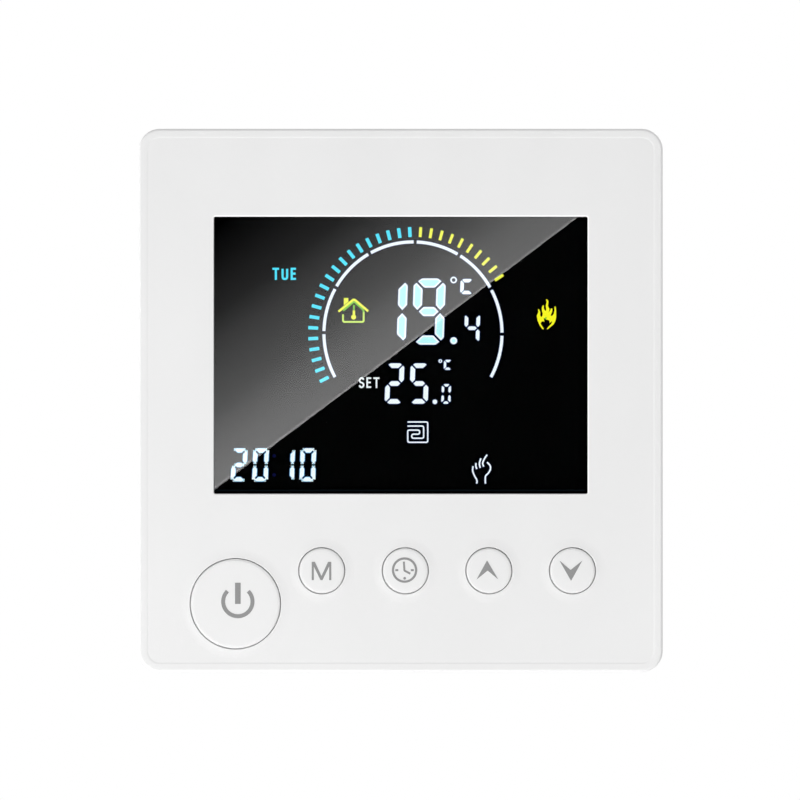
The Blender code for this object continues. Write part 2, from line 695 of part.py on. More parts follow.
def build_display_module(bench):
    """The lens, the liquid crystal panel and the backlight behind it."""
    middle = (0, 0, WINDOW_Z)
    lens_wide = 2 * LENS_MARGIN
    lens = plate(
        WINDOW_WIDTH + lens_wide,
        WINDOW_HEIGHT + lens_wide,
        WINDOW_CHAMFER,
        LENS_FRONT,
        LENS_FRONT + LENS_THICKNESS,
    )
    bench.node("window_lens", lens, "smoked_lens", "front", middle)

    # Two sheets of glass. The front one is shorter, which leaves a contact ledge along the top.
    panel = boxes([between(
        (-LCD_WIDTH / 2, LCD_FRONT + LCD_THICKNESS / 2, -LCD_HEIGHT / 2),
        (LCD_WIDTH / 2, LCD_BACK, LCD_HEIGHT / 2),
    )])
    lcd = bench.node("lcd_panel", panel, "display_glass", "front", middle)
    front_sheet = between(
        (-LCD_WIDTH / 2, LCD_FRONT, -LCD_HEIGHT / 2),
        (LCD_WIDTH / 2, LCD_BACK - LCD_THICKNESS / 4, LCD_HEIGHT / 2 - LCD_CONTACT_LEDGE / 2),
    )
    bench.add(lcd, boxes([front_sheet]), middle)

    build_lcd_holder(bench, middle)
    build_backlight(bench, middle)


def build_lcd_holder(bench, middle):
    """The moulded frame that holds the glass and the light guide on the board."""
    frame = plate(HOLDER_WIDTH, HOLDER_HEIGHT, HOLDER_WALL / 2, LCD_FRONT, BOARD_FRONT - SEAT_GAP)
    holder = bench.node("lcd_holder", frame, "holder_plastic", "front", middle)
    pocket_width = HOLDER_WIDTH - 2 * HOLDER_WALL
    pocket_height = HOLDER_HEIGHT - 2 * HOLDER_WALL
    ledge_front = LEDGE_BACK - HOLDER_LEDGE
    glass_pocket = between(
        (-pocket_width / 2, LCD_FRONT - CUT_OVERRUN, -pocket_height / 2),
        (pocket_width / 2, ledge_front, pocket_height / 2),
    )
    guide_pocket = between(
        (-pocket_width / 2, LEDGE_BACK, -pocket_height / 2),
        (pocket_width / 2, BOARD_FRONT + CUT_OVERRUN, pocket_height / 2),
    )
    bench.cut(holder, boxes([glass_pocket, guide_pocket]), middle)
    # The ledge runs along three sides. The rubber connector stands in the fourth.
    light_hole = between(
        (-pocket_width / 2 + HOLDER_LEDGE_WIDTH, ledge_front - CUT_OVERRUN,
         -pocket_height / 2 + HOLDER_LEDGE_WIDTH),
        (pocket_width / 2 - HOLDER_LEDGE_WIDTH, LEDGE_BACK + CUT_OVERRUN, pocket_height / 2),
    )
    bench.cut(holder, boxes([light_hole]), middle)


def build_backlight(bench, middle):
    """Light guide, reflector film, light strip and the rubber connector above them."""
    half_width = LCD_WIDTH / 2
    top = LCD_HEIGHT / 2 - CONNECTOR_WIDTH - 2 * REST_GAP
    bottom = -LCD_HEIGHT / 2
    strip_inner = half_width - LED_STRIP_WIDTH - LED_SIZE
    guide = between(
        (-half_width, GUIDE_BACK - GUIDE_THICKNESS, bottom),
        (strip_inner - REST_GAP, GUIDE_BACK, top),
    )
    bench.node("backlight_guide", boxes([guide]), "light_guide", "front", middle)
    film = between(
        (-half_width, REFLECTOR_BACK - REFLECTOR_THICKNESS, bottom),
        (strip_inner - REST_GAP, REFLECTOR_BACK, top),
    )
    bench.node("backlight_reflector", boxes([film]), "reflector_film", "front", middle)

    strip_front = GUIDE_BACK - GUIDE_THICKNESS
    strip = between(
        (half_width - LED_STRIP_WIDTH, strip_front, bottom),
        (half_width, REFLECTOR_BACK, top),
    )
    strip_object = bench.node("backlight_led_strip", boxes([strip]), "circuit_board", "front", middle)
    pitch = (top - bottom) / LED_COUNT
    lamps = [
        between(
            (strip_inner, GUIDE_BACK - LED_SIZE, bottom + (i + 0.5) * pitch - LED_SIZE),
            (half_width - LED_STRIP_WIDTH / 2, GUIDE_BACK, bottom + (i + 0.5) * pitch + LED_SIZE),
        )
        for i in range(LED_COUNT)
    ]
    bench.add(strip_object, boxes(lamps), middle)

    connector = between(
        (-half_width + HOLDER_LEDGE_WIDTH + REST_GAP, LCD_BACK + SEAT_GAP,
         LCD_HEIGHT / 2 - CONNECTOR_WIDTH - REST_GAP),
        (half_width - HOLDER_LEDGE_WIDTH - REST_GAP, BOARD_FRONT - SEAT_GAP,
         LCD_HEIGHT / 2 - REST_GAP),
    )
    bench.node("lcd_connector", boxes([connector]), "connector_rubber", "front", middle)


def build_display_board(bench):
    """The board behind the display, its chip, memory cell, sensor, socket and screws."""
    shape = plate(BOARD_WIDTH, BOARD_HEIGHT, BOARD_RADIUS, BOARD_FRONT, BOARD_BACK)
    board = bench.node("display_board", shape, "circuit_board", "front")
    corners = [(x, z) for x in (-BOSS_X, BOSS_X) for z in (-BOSS_Z, BOSS_Z)]
    hole = BOARD_SCREW_RADIUS + SCREW_HOLE_GAP
    bench.cut(
        board, bores(corners, hole, BOARD_FRONT - CUT_OVERRUN, BOARD_BACK + CUT_OVERRUN)
    )
    for number, (x, z) in enumerate([(-BOSS_X, -BOSS_Z), (BOSS_X, BOSS_Z)], 1):
        shape = screw(
            BOARD_SCREW_RADIUS, BOARD_SCREW_LENGTH, BOARD_SCREW_HEAD_RADIUS, BOARD_SCREW_HEAD
        )
        place = (x, BOARD_BACK + SEAT_GAP, z)
        made = bench.node(f"display_board_screw_{number}", shape, "steel", "front", place, smooth=40)
        bench.cut(made, cross_slot(BOARD_SCREW_HEAD_RADIUS, BOARD_SCREW_HEAD), place)

    build_chip(bench)
    build_memory_cell(bench)
    build_room_sensor(bench)
    build_board_socket(bench)


def screw(radius, length, head_radius, head):
    """A pan-head screw that points to -Y, with the head's underside at its origin."""
    tip, taper = SCREW_TIP
    profile = [(radius * tip, -length), (radius, -length * taper), (radius, 0.0)]
    profile += [(head_radius * across, head * height) for across, height in SCREW_HEAD]
    return turned(profile)


def cross_slot(head_radius, head):
    """The cross recess of a screw whose head's top is at y = head."""
    half = head_radius * SLOT_REACH
    thin = head_radius * SLOT_WIDTH
    plus = [(half, thin), (thin, thin), (thin, half)]
    plus += [(-thin, half), (-thin, thin), (-half, thin)]
    plus += [(-x, -z) for x, z in plus]
    return loft([(plus, head * (1 - SLOT_DEPTH)), (plus, head + CUT_OVERRUN)])


def build_chip(bench):
    """The controller chip on the back of the display board."""
    x, z = CHIP_PLACE
    place = (x, BOARD_BACK, z)
    body = between(
        (-CHIP_SIZE / 2, SEAT_GAP, -CHIP_SIZE / 2),
        (CHIP_SIZE / 2, SEAT_GAP + CHIP_THICKNESS, CHIP_SIZE / 2),
    )
    chip = bench.node("controller_chip", boxes([body]), "dark_plastic", "front", place)
    legs = []
    reach = CHIP_SIZE / 2 + CHIP_LEG_REACH / 2
    centre_y = SEAT_GAP + CHIP_THICKNESS / 2
    length = CHIP_LEG_REACH + CHIP_LEG_ROOT
    for i in range(CHIP_LEGS_PER_SIDE):
        along = (i - (CHIP_LEGS_PER_SIDE - 1) / 2) * CHIP_LEG_PITCH
        for side in (-1, 1):
            legs.append(((side * reach, centre_y, along), (length, CHIP_LEG_THICKNESS, CHIP_LEG_WIDTH)))
            legs.append(((along, centre_y, side * reach), (CHIP_LEG_WIDTH, CHIP_LEG_THICKNESS, length)))
    bench.add(chip, boxes(legs), place)


def build_memory_cell(bench):
    """The coin cell that keeps the clock going, and the spring strap over it."""
    x, z = CELL_PLACE
    place = (x, BOARD_BACK, z)
    back = REST_GAP + CELL_THICKNESS
    profile = [(CELL_RADIUS - CELL_BEVEL, REST_GAP), (CELL_RADIUS, REST_GAP + CELL_BEVEL)]
    profile += [(CELL_RADIUS, back - CELL_BEVEL), (CELL_RADIUS - CELL_BEVEL, back)]
    bench.node("memory_cell", turned(profile), "steel", "front", place, smooth=40)

    strap_front = back + SEAT_GAP
    leg = CELL_RADIUS + REST_GAP + CELL_STRAP / 2
    bridge = (
        (0, strap_front + CELL_STRAP / 2, 0),
        (2 * leg + CELL_STRAP, CELL_STRAP, CELL_STRAP_WIDTH),
    )
    strap = bench.node("memory_cell_strap", boxes([bridge]), "steel", "front", place)
    legs = [
        between(
            (side * leg - CELL_STRAP / 2, SEAT_GAP, -CELL_STRAP_LEG / 2),
            (side * leg + CELL_STRAP / 2, strap_front + CELL_STRAP / 2, CELL_STRAP_LEG / 2),
        )
        for side in (-1, 1)
    ]
    bench.add(strap, boxes(legs), place)


def build_room_sensor(bench):
    """The temperature bead on its two legs, beside the air slots."""
    vents_middle = HALF_WIDTH - VENT_SIDE_INSET - (VENT_COUNT - 1) / 2 * VENT_PITCH
    place = (vents_middle, BOARD_BACK, -BOARD_HEIGHT / 2 + SENSOR_RISE)
    middle = SENSOR_STANDOFF + SENSOR_RADIUS
    angles = [math.pi * i / BEAD_STEPS for i in range(1, BEAD_STEPS)]
    profile = [(SENSOR_RADIUS * math.sin(a), middle - SENSOR_RADIUS * math.cos(a)) for a in angles]
    bead = bench.node("room_sensor", turned(profile), "sensor_epoxy", "front", place, smooth=40)
    legs = [
        between(
            (side * SENSOR_RADIUS / 2 - SENSOR_LEG / 2, SEAT_GAP, -SENSOR_LEG / 2),
            (side * SENSOR_RADIUS / 2 + SENSOR_LEG / 2, middle, SENSOR_LEG / 2),
        )
        for side in (-1, 1)
    ]
    bench.add(bead, boxes(legs), place)


def build_board_socket(bench):
    """The socket on the display board that the power board's pins go into."""
    front = BOARD_BACK + SEAT_GAP
    body = pin_field(SOCKET_MARGIN, front, front + SOCKET_HEIGHT)
    socket = bench.node("board_socket", boxes([body]), "dark_plastic", "front")
    holes = [
        between(
            (px - PIN_SOCKET_SIZE / 2, front + SEAT_GAP, pz - PIN_SOCKET_SIZE / 2),
            (px + PIN_SOCKET_SIZE / 2, front + SOCKET_HEIGHT + CUT_OVERRUN, pz + PIN_SOCKET_SIZE / 2),
        )
        for px, pz in pin_places()
    ]
    bench.cut(socket, boxes(holes))


def build_buttons(bench):
    """Each push button, the switch behind it and that switch's plunger."""
    for name, radius, x, z in button_places():
        place = (x, FACE, z)
        cap = bench.node(f"{name}_button", button_cap(radius), "button_plastic", "front", place, smooth=30)
        bench.add(cap, button_key(radius), place)

        switch_place = (x, BOARD_FRONT, z)
        switch = bench.node(f"{name}_switch", switch_body(), "dark_plastic", "front", switch_place)
        bench.add(switch, switch_legs(), switch_place)
        collar = turned(
            [(TACT_COLLAR_RADIUS, -SEAT_GAP - TACT_HEIGHT - TACT_COLLAR_HEIGHT),
             (TACT_COLLAR_RADIUS, -SEAT_GAP - TACT_HEIGHT / 2)]
        )
        bench.add(switch, collar, switch_place)
        well = PLUNGER_RADIUS + RUNNING_GAP
        well_floor = plunger_back() - BOARD_FRONT + BUTTON_TRAVEL + REST_GAP
        bench.cut(
            switch,
            turned([(well, -2 * TACT_HEIGHT), (well, well_floor)]),
            switch_place,
        )

        plunger_place = (x, plunger_front(), z)
        length = plunger_back() - plunger_front()
        tip = PLUNGER_RADIUS - PLUNGER_BEVEL
        shape = turned([(tip, 0.0), (PLUNGER_RADIUS, PLUNGER_BEVEL), (PLUNGER_RADIUS, length)])
        bench.node(f"{name}_plunger", shape, "dark_plastic", "front", plunger_place, smooth=40)


def cap_back():
    """How far behind the face a button's post ends."""
    return FACE_WALL + REST_GAP + BUTTON_LIP_THICKNESS


def plunger_front():
    """The depth of a plunger's tip, just behind the button's post."""
    return FACE + cap_back() + RUNNING_GAP


def plunger_back():
    """The depth of a plunger's foot, inside its switch."""
    return BOARD_FRONT - SEAT_GAP - TACT_HEIGHT + PLUNGER_SEAT


def button_cap(radius):
    """A slightly domed cap with a lip behind the face, hollow round its middle post."""
    lip_front = FACE_WALL + REST_GAP
    inner = radius - BUTTON_SKIRT
    under_top = BUTTON_TOP_WALL - BUTTON_PROUD
    profile = [(radius * across, -BUTTON_PROUD * height) for across, height in BUTTON_CROWN]
    profile += [
        (radius, 0.0),
        (radius, lip_front),
        (radius + BUTTON_LIP, lip_front),
        (radius + BUTTON_LIP, cap_back()),
        (inner, cap_back()),
        (inner, under_top),
        (BUTTON_POST_RADIUS, under_top),
        (BUTTON_POST_RADIUS, cap_back()),
    ]
    return turned(profile)


def button_key(radius):
    """The tab on a cap's lip that stands between two ribs."""
    low = (-KEY_WIDTH / 2, FACE_WALL + REST_GAP, radius - BUTTON_SKIRT / 2)
    high = (KEY_WIDTH / 2, cap_back(), radius + BUTTON_LIP + KEY_LENGTH)
    return boxes([between(low, high)])


def switch_body():
    """A square switch housing that stands in front of the board."""
    low = (-TACT_SIZE / 2, -SEAT_GAP - TACT_HEIGHT, -TACT_SIZE / 2)
    high = (TACT_SIZE / 2, -SEAT_GAP, TACT_SIZE / 2)
    return boxes([between(low, high)])


def switch_legs():
    """Four flat legs at a switch's sides."""
    legs = []
    for side in (-1, 1):
        for end in (-1, 1):
            x = side * (TACT_SIZE / 2 + TACT_LEG_REACH / 2 - TACT_LEG_THICKNESS)
            z = end * (TACT_SIZE / 2 - TACT_LEG_WIDTH)
            y = -SEAT_GAP - TACT_LEG_THICKNESS
            size = (TACT_LEG_REACH + TACT_LEG_THICKNESS, TACT_LEG_THICKNESS, TACT_LEG_WIDTH)
            legs.append(((x, y, z), size))
    return boxes(legs)


# The rear half


def build_rear_housing(bench):
    """The plate that screws to the wall, with the box that sinks into it."""
    shape = plate(PLATE_WIDTH, PLATE_HEIGHT, OUTER_RADIUS - SIDE_WALL, PLATE_FRONT, 0.0)
    housing = bench.node("rear_housing", shape, "white_plastic", "rear")
    bench.add(housing, plate_rim())
    box_front = PLATE_FRONT / 2
    bench.add(housing, plate(BOX_WIDTH, BOX_HEIGHT, BOX_RADIUS, box_front, BOX_BACK))
    inner_radius = BOX_RADIUS - BOX_WALL
    bench.cut(
        housing,
        plate(BOX_INSIDE_WIDTH, BOX_INSIDE_HEIGHT, inner_radius, PLATE_FRONT - CUT_OVERRUN,
              BOX_BACK - BOX_WALL),
    )
    bench.add(housing, box_supports())
    bench.cut(housing, bores(post_places(), COVER_SCREW_RADIUS + THREAD_GAP,
                             POWER_BOARD_BACK - CUT_OVERRUN, post_screw_end() + REST_GAP))
    bench.cut(housing, wall_slots())
    bench.cut(housing, snap_grooves())
    bench.cut(housing, terminal_openings())
    bench.cut(housing, box_vents())


def post_screw_end():
    """How deep the inner cover's screws reach."""
    return COVER_FRONT - SEAT_GAP + COVER_SCREW_LENGTH


def plate_rim():
    """The stiffening rim that stands forward round the plate's edge."""
    radius = OUTER_RADIUS - SIDE_WALL
    outer = outline(PLATE_WIDTH, PLATE_HEIGHT, radius)
    inner = outline(PLATE_WIDTH - 2 * RIM_WIDTH, PLATE_HEIGHT - 2 * RIM_WIDTH, radius - RIM_WIDTH)
    front, back = PLATE_FRONT - RIM_HEIGHT, PLATE_FRONT / 2
    return loft([(outer, front), (outer, back), (inner, back), (inner, front)], closed=True)


def box_supports():
    """Two screw posts and two small ledges that the power board lies on."""
    front = POWER_BOARD_BACK + SEAT_GAP
    back = BOX_BACK - BOX_WALL / 2
    wall_x = BOX_INSIDE_WIDTH / 2 + BOX_WALL / 2
    ledge_x = BOX_INSIDE_WIDTH / 2 - SUPPORT_SIZE
    low_z, high_z = SUPPORT_Z - SUPPORT_SIZE / 2, SUPPORT_Z + SUPPORT_SIZE / 2
    ledges = [
        between((-wall_x, front, low_z), (-ledge_x, back, high_z)),
        between((ledge_x, front, low_z), (wall_x, back, high_z)),
    ]
    return joined([bores(post_places(), POST_RADIUS, front, back), boxes(ledges)])


def wall_slots():
    """The two slots that the wall screws go through."""
    width = 2 * (WALL_SCREW_RADIUS + WALL_SLOT_GAP)
    slots = []
    for side in (-1, 1):
        length = width + WALL_SLOT_LENGTH
        slot = plate(length, width, SLOT_END * width, PLATE_FRONT - CUT_OVERRUN, CUT_OVERRUN)
        slots.append(moved(slot, (side * WALL_SCREW_X, 0, 0)))
    return joined(slots)


def snap_grooves():
    """Grooves in the rim, one for each of the cover's snap bumps."""
    depth = SNAP_HEIGHT
    items = []
    for side, z in snap_places():
        x = side * PLATE_WIDTH / 2
        size = (2 * depth, SNAP_THICKNESS + 2 * REST_GAP, SNAP_LENGTH + 2 * REST_GAP)
        items.append(((x, snap_y(), z), size))
    return boxes(items)


def terminal_openings():
    """The gap in the box's back for the terminal block, and the wire holes in its underside."""
    wide = BOX_INSIDE_WIDTH - 2 * SEAT_GAP
    back_gap = between(
        (-wide / 2, BOX_BACK - 2 * BOX_WALL, TERMINAL_BOTTOM - SEAT_GAP),
        (wide / 2, BOX_BACK + CUT_OVERRUN, TERMINAL_BOTTOM + TERMINAL_DEPTH + SEAT_GAP),
    )
    items = [back_gap]
    for x in terminal_places():
        low = (x - WIRE_HOLE / 2, WIRE_Y - WIRE_HOLE / 2, -BOX_HEIGHT / 2 - CUT_OVERRUN)
        high = (x + WIRE_HOLE / 2, WIRE_Y + WIRE_HOLE / 2, TERMINAL_BOTTOM - SEAT_GAP / 2)
        items.append(between(low, high))
    return boxes(items)


def box_vents():
    """Cooling slots in the box's top and sides."""
    items = []
    middle_y = (INNER_BOARD_DROP + BOX_BACK) / 2
    top = BOX_HEIGHT / 2 - BOX_WALL / 2
    side_x = BOX_WIDTH / 2 - BOX_WALL / 2
    for i in range(BOX_VENT_COUNT):
        along = (i - (BOX_VENT_COUNT - 1) / 2) * BOX_VENT_PITCH
        items.append(((along, middle_y, top), (BOX_VENT_WIDTH, BOX_VENT_LENGTH, 2 * BOX_WALL)))
    for side in (-1, 1):
        for i in range(BOX_SIDE_VENT_COUNT):
            z = SUPPORT_Z + SUPPORT_SIZE + (i + 1) * BOX_VENT_PITCH
            items.append(((side * side_x, middle_y, z), (2 * BOX_WALL, BOX_VENT_LENGTH, BOX_VENT_WIDTH)))
    return boxes(items)


def build_inner_cover(bench):
    """The insulating lid over the box, with a hole for the pins, and its two screws."""
    width = BOX_INSIDE_WIDTH - 2 * INNER_COVER_GAP
    height = BOX_INSIDE_HEIGHT - 2 * INNER_COVER_GAP
    shape = plate(width, height, BOX_RADIUS - BOX_WALL, COVER_FRONT, COVER_BACK)
    lid = bench.node("inner_cover", shape, "white_plastic", "rear")
    hole = pin_field(PIN_HOLE_MARGIN, COVER_FRONT - CUT_OVERRUN, COVER_BACK + CUT_OVERRUN)
    bench.cut(lid, boxes([hole]))
    bench.cut(
        lid,
        bores(post_places(), COVER_SCREW_RADIUS + SCREW_HOLE_GAP, COVER_FRONT - CUT_OVERRUN,
              COVER_BACK + CUT_OVERRUN),
    )
    for number, (x, z) in enumerate(post_places(), 1):
        place = (x, COVER_FRONT - SEAT_GAP, z)
        shape = rear_screw(
            COVER_SCREW_RADIUS, COVER_SCREW_LENGTH, COVER_SCREW_HEAD_RADIUS, COVER_SCREW_HEAD
        )
        made = bench.node(f"inner_cover_screw_{number}", shape, "steel", "rear", place, smooth=40)
        bench.cut(made, rear_cross_slot(COVER_SCREW_HEAD_RADIUS, COVER_SCREW_HEAD), place)


def turned_round(shape):
    """The same shape, turned half round the z axis so that it points the other way along y."""
    for vert in shape.verts:
        vert.co.x, vert.co.y = -vert.co.x, -vert.co.y
    return shape


def rear_screw(radius, length, head_radius, head):
    """A pan-head screw that points to +Y, into the wall."""
    return turned_round(screw(radius, length, head_radius, head))


def rear_cross_slot(head_radius, head):
    """The cross recess of a screw that points to +Y."""
    return turned_round(cross_slot(head_radius, head))


def build_wall_screws(bench):
    """The two machine screws that hold the plate on the wall box's lugs."""
    for name, side in (("left", -1), ("right", 1)):
        place = (side * WALL_SCREW_X, PLATE_FRONT - SEAT_GAP, 0)
        shape = rear_screw(
            WALL_SCREW_RADIUS, WALL_SCREW_LENGTH, WALL_SCREW_HEAD_RADIUS, WALL_SCREW_HEAD
        )
        made = bench.node(f"wall_screw_{name}", shape, "steel", "rear", place, smooth=40)
        bench.cut(made, rear_cross_slot(WALL_SCREW_HEAD_RADIUS, WALL_SCREW_HEAD), place)


def build_power_board(bench):
    """The board in the box, with the pins that reach forward to the display board."""
    width = BOX_INSIDE_WIDTH - 2 * INNER_COVER_GAP
    height = BOX_INSIDE_HEIGHT - 2 * INNER_COVER_GAP
    shape = plate(width, height, BOX_RADIUS - BOX_WALL, INNER_BOARD_DROP, POWER_BOARD_BACK)
    board = bench.node("power_board", shape, "circuit_board", "rear")
    bench.cut(
        board,
        bores(post_places(), COVER_SCREW_RADIUS + SCREW_HOLE_GAP, INNER_BOARD_DROP - CUT_OVERRUN,
              POWER_BOARD_BACK + CUT_OVERRUN),
    )
    strip_back = INNER_BOARD_DROP - SEAT_GAP
    strip = pin_field(0, strip_back - PIN_STRIP_HEIGHT, strip_back)
    header = bench.node("board_pins", boxes([strip]), "dark_plastic", "rear")
    pin_tip = BOARD_BACK + PIN_TIP_GAP
    pins = [
        between(
            (px - PIN_SIZE / 2, pin_tip, pz - PIN_SIZE / 2),
            (px + PIN_SIZE / 2, strip_back - PIN_STRIP_HEIGHT / 2, pz + PIN_SIZE / 2),
        )
        for px, pz in pin_places()
    ]
    bench.add(header, boxes(pins))


def build_power_parts(bench):
    """Relay, transformer, capacitors, fuse and surge disc on the back of the power board."""
    floor = POWER_BOARD_BACK + SEAT_GAP
    left = -BOX_INSIDE_WIDTH / 2 + SUPPORT_SIZE + REST_GAP
    right = -left
    low = TERMINAL_BOTTOM + TERMINAL_DEPTH + PART_GAP / 2

    relay_x = left + RELAY_SIZE[0] / 2
    relay_z = low + RELAY_SIZE[1] / 2
    part = rounded_block(RELAY_SIZE, BLOCK_RADIUS)
    bench.node("relay", part, "relay_blue", "rear", (relay_x, floor, relay_z))

    filter_x = left + FILTER_CAPACITOR_SIZE[0] / 2
    filter_z = low + RELAY_SIZE[1] + PART_GAP + FILTER_CAPACITOR_SIZE[1] / 2
    part = rounded_block(FILTER_CAPACITOR_SIZE, BLOCK_RADIUS)
    bench.node("filter_capacitor", part, "capacitor_yellow", "rear", (filter_x, floor, filter_z))

    top_row = POST_Z
    fuse_x = -POST_X + POST_RADIUS + PART_GAP + FUSE_SIZE[0] / 2
    part = rounded_block(FUSE_SIZE, BLOCK_RADIUS)
    bench.node("fuse", part, "dark_plastic", "rear", (fuse_x, floor, top_row))

    disc_x = fuse_x + FUSE_SIZE[0] / 2 + PART_GAP + SURGE_DISC[0]
    disc = bench.node("surge_disc", disc_shape(), "disc_blue", "rear", (disc_x, floor, top_row), smooth=40)
    bench.add(disc, disc_legs(), (disc_x, floor, top_row))

    small_x = right - SMALL_CAPACITOR[0]
    small_z = low + SMALL_CAPACITOR[0] + PART_GAP
    place = (small_x, floor, small_z)
    bench.node("small_capacitor", can(*SMALL_CAPACITOR), "capacitor_sleeve", "rear", place, smooth=30)
    large_x = small_x - SMALL_CAPACITOR[0] - PART_GAP / 2 - LARGE_CAPACITOR[0]
    place = (large_x, floor, low + LARGE_CAPACITOR[0])
    bench.node("large_capacitor", can(*LARGE_CAPACITOR), "capacitor_sleeve", "rear", place, smooth=30)

    core_x = right - CORE_SIZE[0] / 2
    core_z = top_row - SURGE_DISC[1] / 2 - PART_GAP - CORE_SIZE[1] / 2
    build_transformer(bench, (core_x, floor, core_z))


def rounded_block(size, radius):
    """An upright block with round corners, whose foot is at its origin."""
    width, height, depth = size
    return plate(width, height, radius, 0.0, depth)


def can(radius, length):
    """A capacitor can that stands on its foot."""
    return turned([(radius * across, length * along) for across, along in CAN_PROFILE])


def disc_shape():
    """A coated disc that stands on its edge, its axis along z."""
    radius, thickness = SURGE_DISC
    shape = turned([(radius * across, thickness * along) for across, along in DISC_PROFILE])
    return stood_up(shape, radius + DISC_STANDOFF)


def stood_up(shape, lift):
    """The same shape, turned from the y axis to the z axis and moved back by lift."""
    for vert in shape.verts:
        x, y, z = vert.co
        vert.co = Vector((x, lift - z, y))
    return shape


def disc_legs():
    """The surge disc's two legs."""
    radius, _ = SURGE_DISC
    items = []
    for side in (-1, 1):
        x = side * radius / 2
        low = (x - PIN_SIZE / 2, 0.0, -PIN_SIZE / 2)
        items.append(between(low, (x + PIN_SIZE / 2, radius, PIN_SIZE / 2)))
    return boxes(items)


def build_transformer(bench, place):
    """A small ferrite transformer: a closed core, and a winding round its middle leg."""
    width, height, thickness = CORE_SIZE
    lift = WINDING_BUILD + thickness / 2 + WINDING_GAP
    block = ((0, lift, 0), (width, thickness, height))
    core = bench.node("transformer_core", boxes([block]), "ferrite", "rear", place)
    hole_height = height - 2 * CORE_LEG
    hole_width = (width - 2 * CORE_LEG - CORE_CENTRE_LEG) / 2
    holes = []
    for side in (-1, 1):
        x = side * (CORE_CENTRE_LEG + hole_width) / 2
        holes.append(((x, lift, 0), (hole_width, 2 * thickness, hole_height)))
    bench.cut(core, boxes(holes), place)

    outer = (
        CORE_CENTRE_LEG + 2 * (hole_width - WINDING_GAP),
        thickness + 2 * WINDING_BUILD,
        hole_height - 2 * WINDING_GAP,
    )
    inner_width = CORE_CENTRE_LEG + 2 * WINDING_GAP
    inner_depth = thickness + 2 * WINDING_GAP
    shape = winding_ring(outer, inner_width, inner_depth, lift)
    bench.node("transformer_winding", shape, "winding_tape", "rear", place)


def winding_ring(outer, inner_width, inner_depth, lift):
    """A rectangular tube round the z axis, its middle at height lift along y."""
    width, depth, height = outer
    round_outside = outline(width, depth, WINDING_RADIUS)
    inside = outline(inner_width, inner_depth, WINDING_GAP / 2)
    half = height / 2
    shape = loft(
        [(round_outside, -half), (round_outside, half), (inside, half), (inside, -half)],
        closed=True,
    )
    return stood_up(shape, lift)


def build_terminals(bench):
    """The terminal block, its screws and the clamps that they raise."""
    low = (-TERMINAL_WIDTH / 2, TERMINAL_FRONT, TERMINAL_BOTTOM)
    high = (TERMINAL_WIDTH / 2, TERMINAL_BACK, TERMINAL_BOTTOM + TERMINAL_DEPTH)
    block = bench.node("terminal_block", boxes([between(low, high)]), "terminal_plastic", "rear")
    places = [(x, TERMINAL_Z) for x in terminal_places()]
    half_width = CLAMP_WIDTH / 2 + CLAMP_GAP
    half_depth = CLAMP_DEPTH / 2 + CLAMP_GAP
    rooms = [
        between(
            (x - half_width, CLAMP_ROOM_FRONT, z - half_depth),
            (x + half_width, NECK_FRONT, z + half_depth),
        )
        for x, z in places
    ]
    bench.cut(block, boxes(rooms))
    neck = TERMINAL_SCREW_RADIUS + RUNNING_GAP
    bench.cut(block, bores(places, neck, NECK_FRONT - CUT_OVERRUN / 2, NECK_BACK + CUT_OVERRUN / 2))
    head = TERMINAL_HEAD_RADIUS + RUNNING_GAP
    bench.cut(block, bores(places, head, NECK_BACK, TERMINAL_BACK + CUT_OVERRUN))
    wire_ways = [
        between(
            (x - WIRE_HOLE / 2, WIRE_Y - WIRE_HOLE / 2, TERMINAL_BOTTOM - CUT_OVERRUN),
            (x + WIRE_HOLE / 2, WIRE_Y + WIRE_HOLE / 2, z),
        )
        for x, z in places
    ]
    bench.cut(block, boxes(wire_ways))

    for number, (x, z) in enumerate(places, 1):
        place = (x, HEAD_FRONT, z)
        made = bench.node(f"terminal_screw_{number}", terminal_screw(), "steel", "rear", place, smooth=40)
        slot = between(
            (-2 * TERMINAL_HEAD_RADIUS, TERMINAL_HEAD - TERMINAL_SLOT_DEPTH, -TERMINAL_SLOT_WIDTH / 2),
            (2 * TERMINAL_HEAD_RADIUS, TERMINAL_HEAD + CUT_OVERRUN, TERMINAL_SLOT_WIDTH / 2),
        )
        bench.cut(made, boxes([slot]), place)
        place = (x, CLAMP_FRONT, z)
        body = between(
            (-CLAMP_WIDTH / 2, 0.0, -CLAMP_DEPTH / 2),
            (CLAMP_WIDTH / 2, CLAMP_HEIGHT, CLAMP_DEPTH / 2),
        )
        clamp = bench.node(f"terminal_clamp_{number}", boxes([body]), "brass", "rear", place)
        wire_room = between(
            (-WIRE_HOLE / 2, CLAMP_FLOOR, -CLAMP_DEPTH),
            (WIRE_HOLE / 2, CLAMP_HEIGHT - CLAMP_THREAD_WALL, CLAMP_DEPTH),
        )
        bench.cut(clamp, boxes([wire_room]), place)
        thread = TERMINAL_SCREW_RADIUS + THREAD_GAP
        bore = turned([(thread, CLAMP_HEIGHT / 2), (thread, CLAMP_HEIGHT + CUT_OVERRUN)])
        bench.cut(clamp, bore, place)


def terminal_screw():
    """A slotted screw with its head's underside at its origin, its shank towards -Y."""
    tip = CLAMP_BACK - CLAMP_THREAD_WALL + SEAT_GAP - HEAD_FRONT
    profile = [
        (TERMINAL_SCREW_RADIUS - TERMINAL_BEVEL, tip),
        (TERMINAL_SCREW_RADIUS, tip + TERMINAL_BEVEL),
        (TERMINAL_SCREW_RADIUS, 0.0),
        (TERMINAL_HEAD_RADIUS, 0.0),
        (TERMINAL_HEAD_RADIUS, TERMINAL_HEAD - TERMINAL_BEVEL),
        (TERMINAL_HEAD_RADIUS - TERMINAL_BEVEL, TERMINAL_HEAD),
    ]
    return turned(profile)


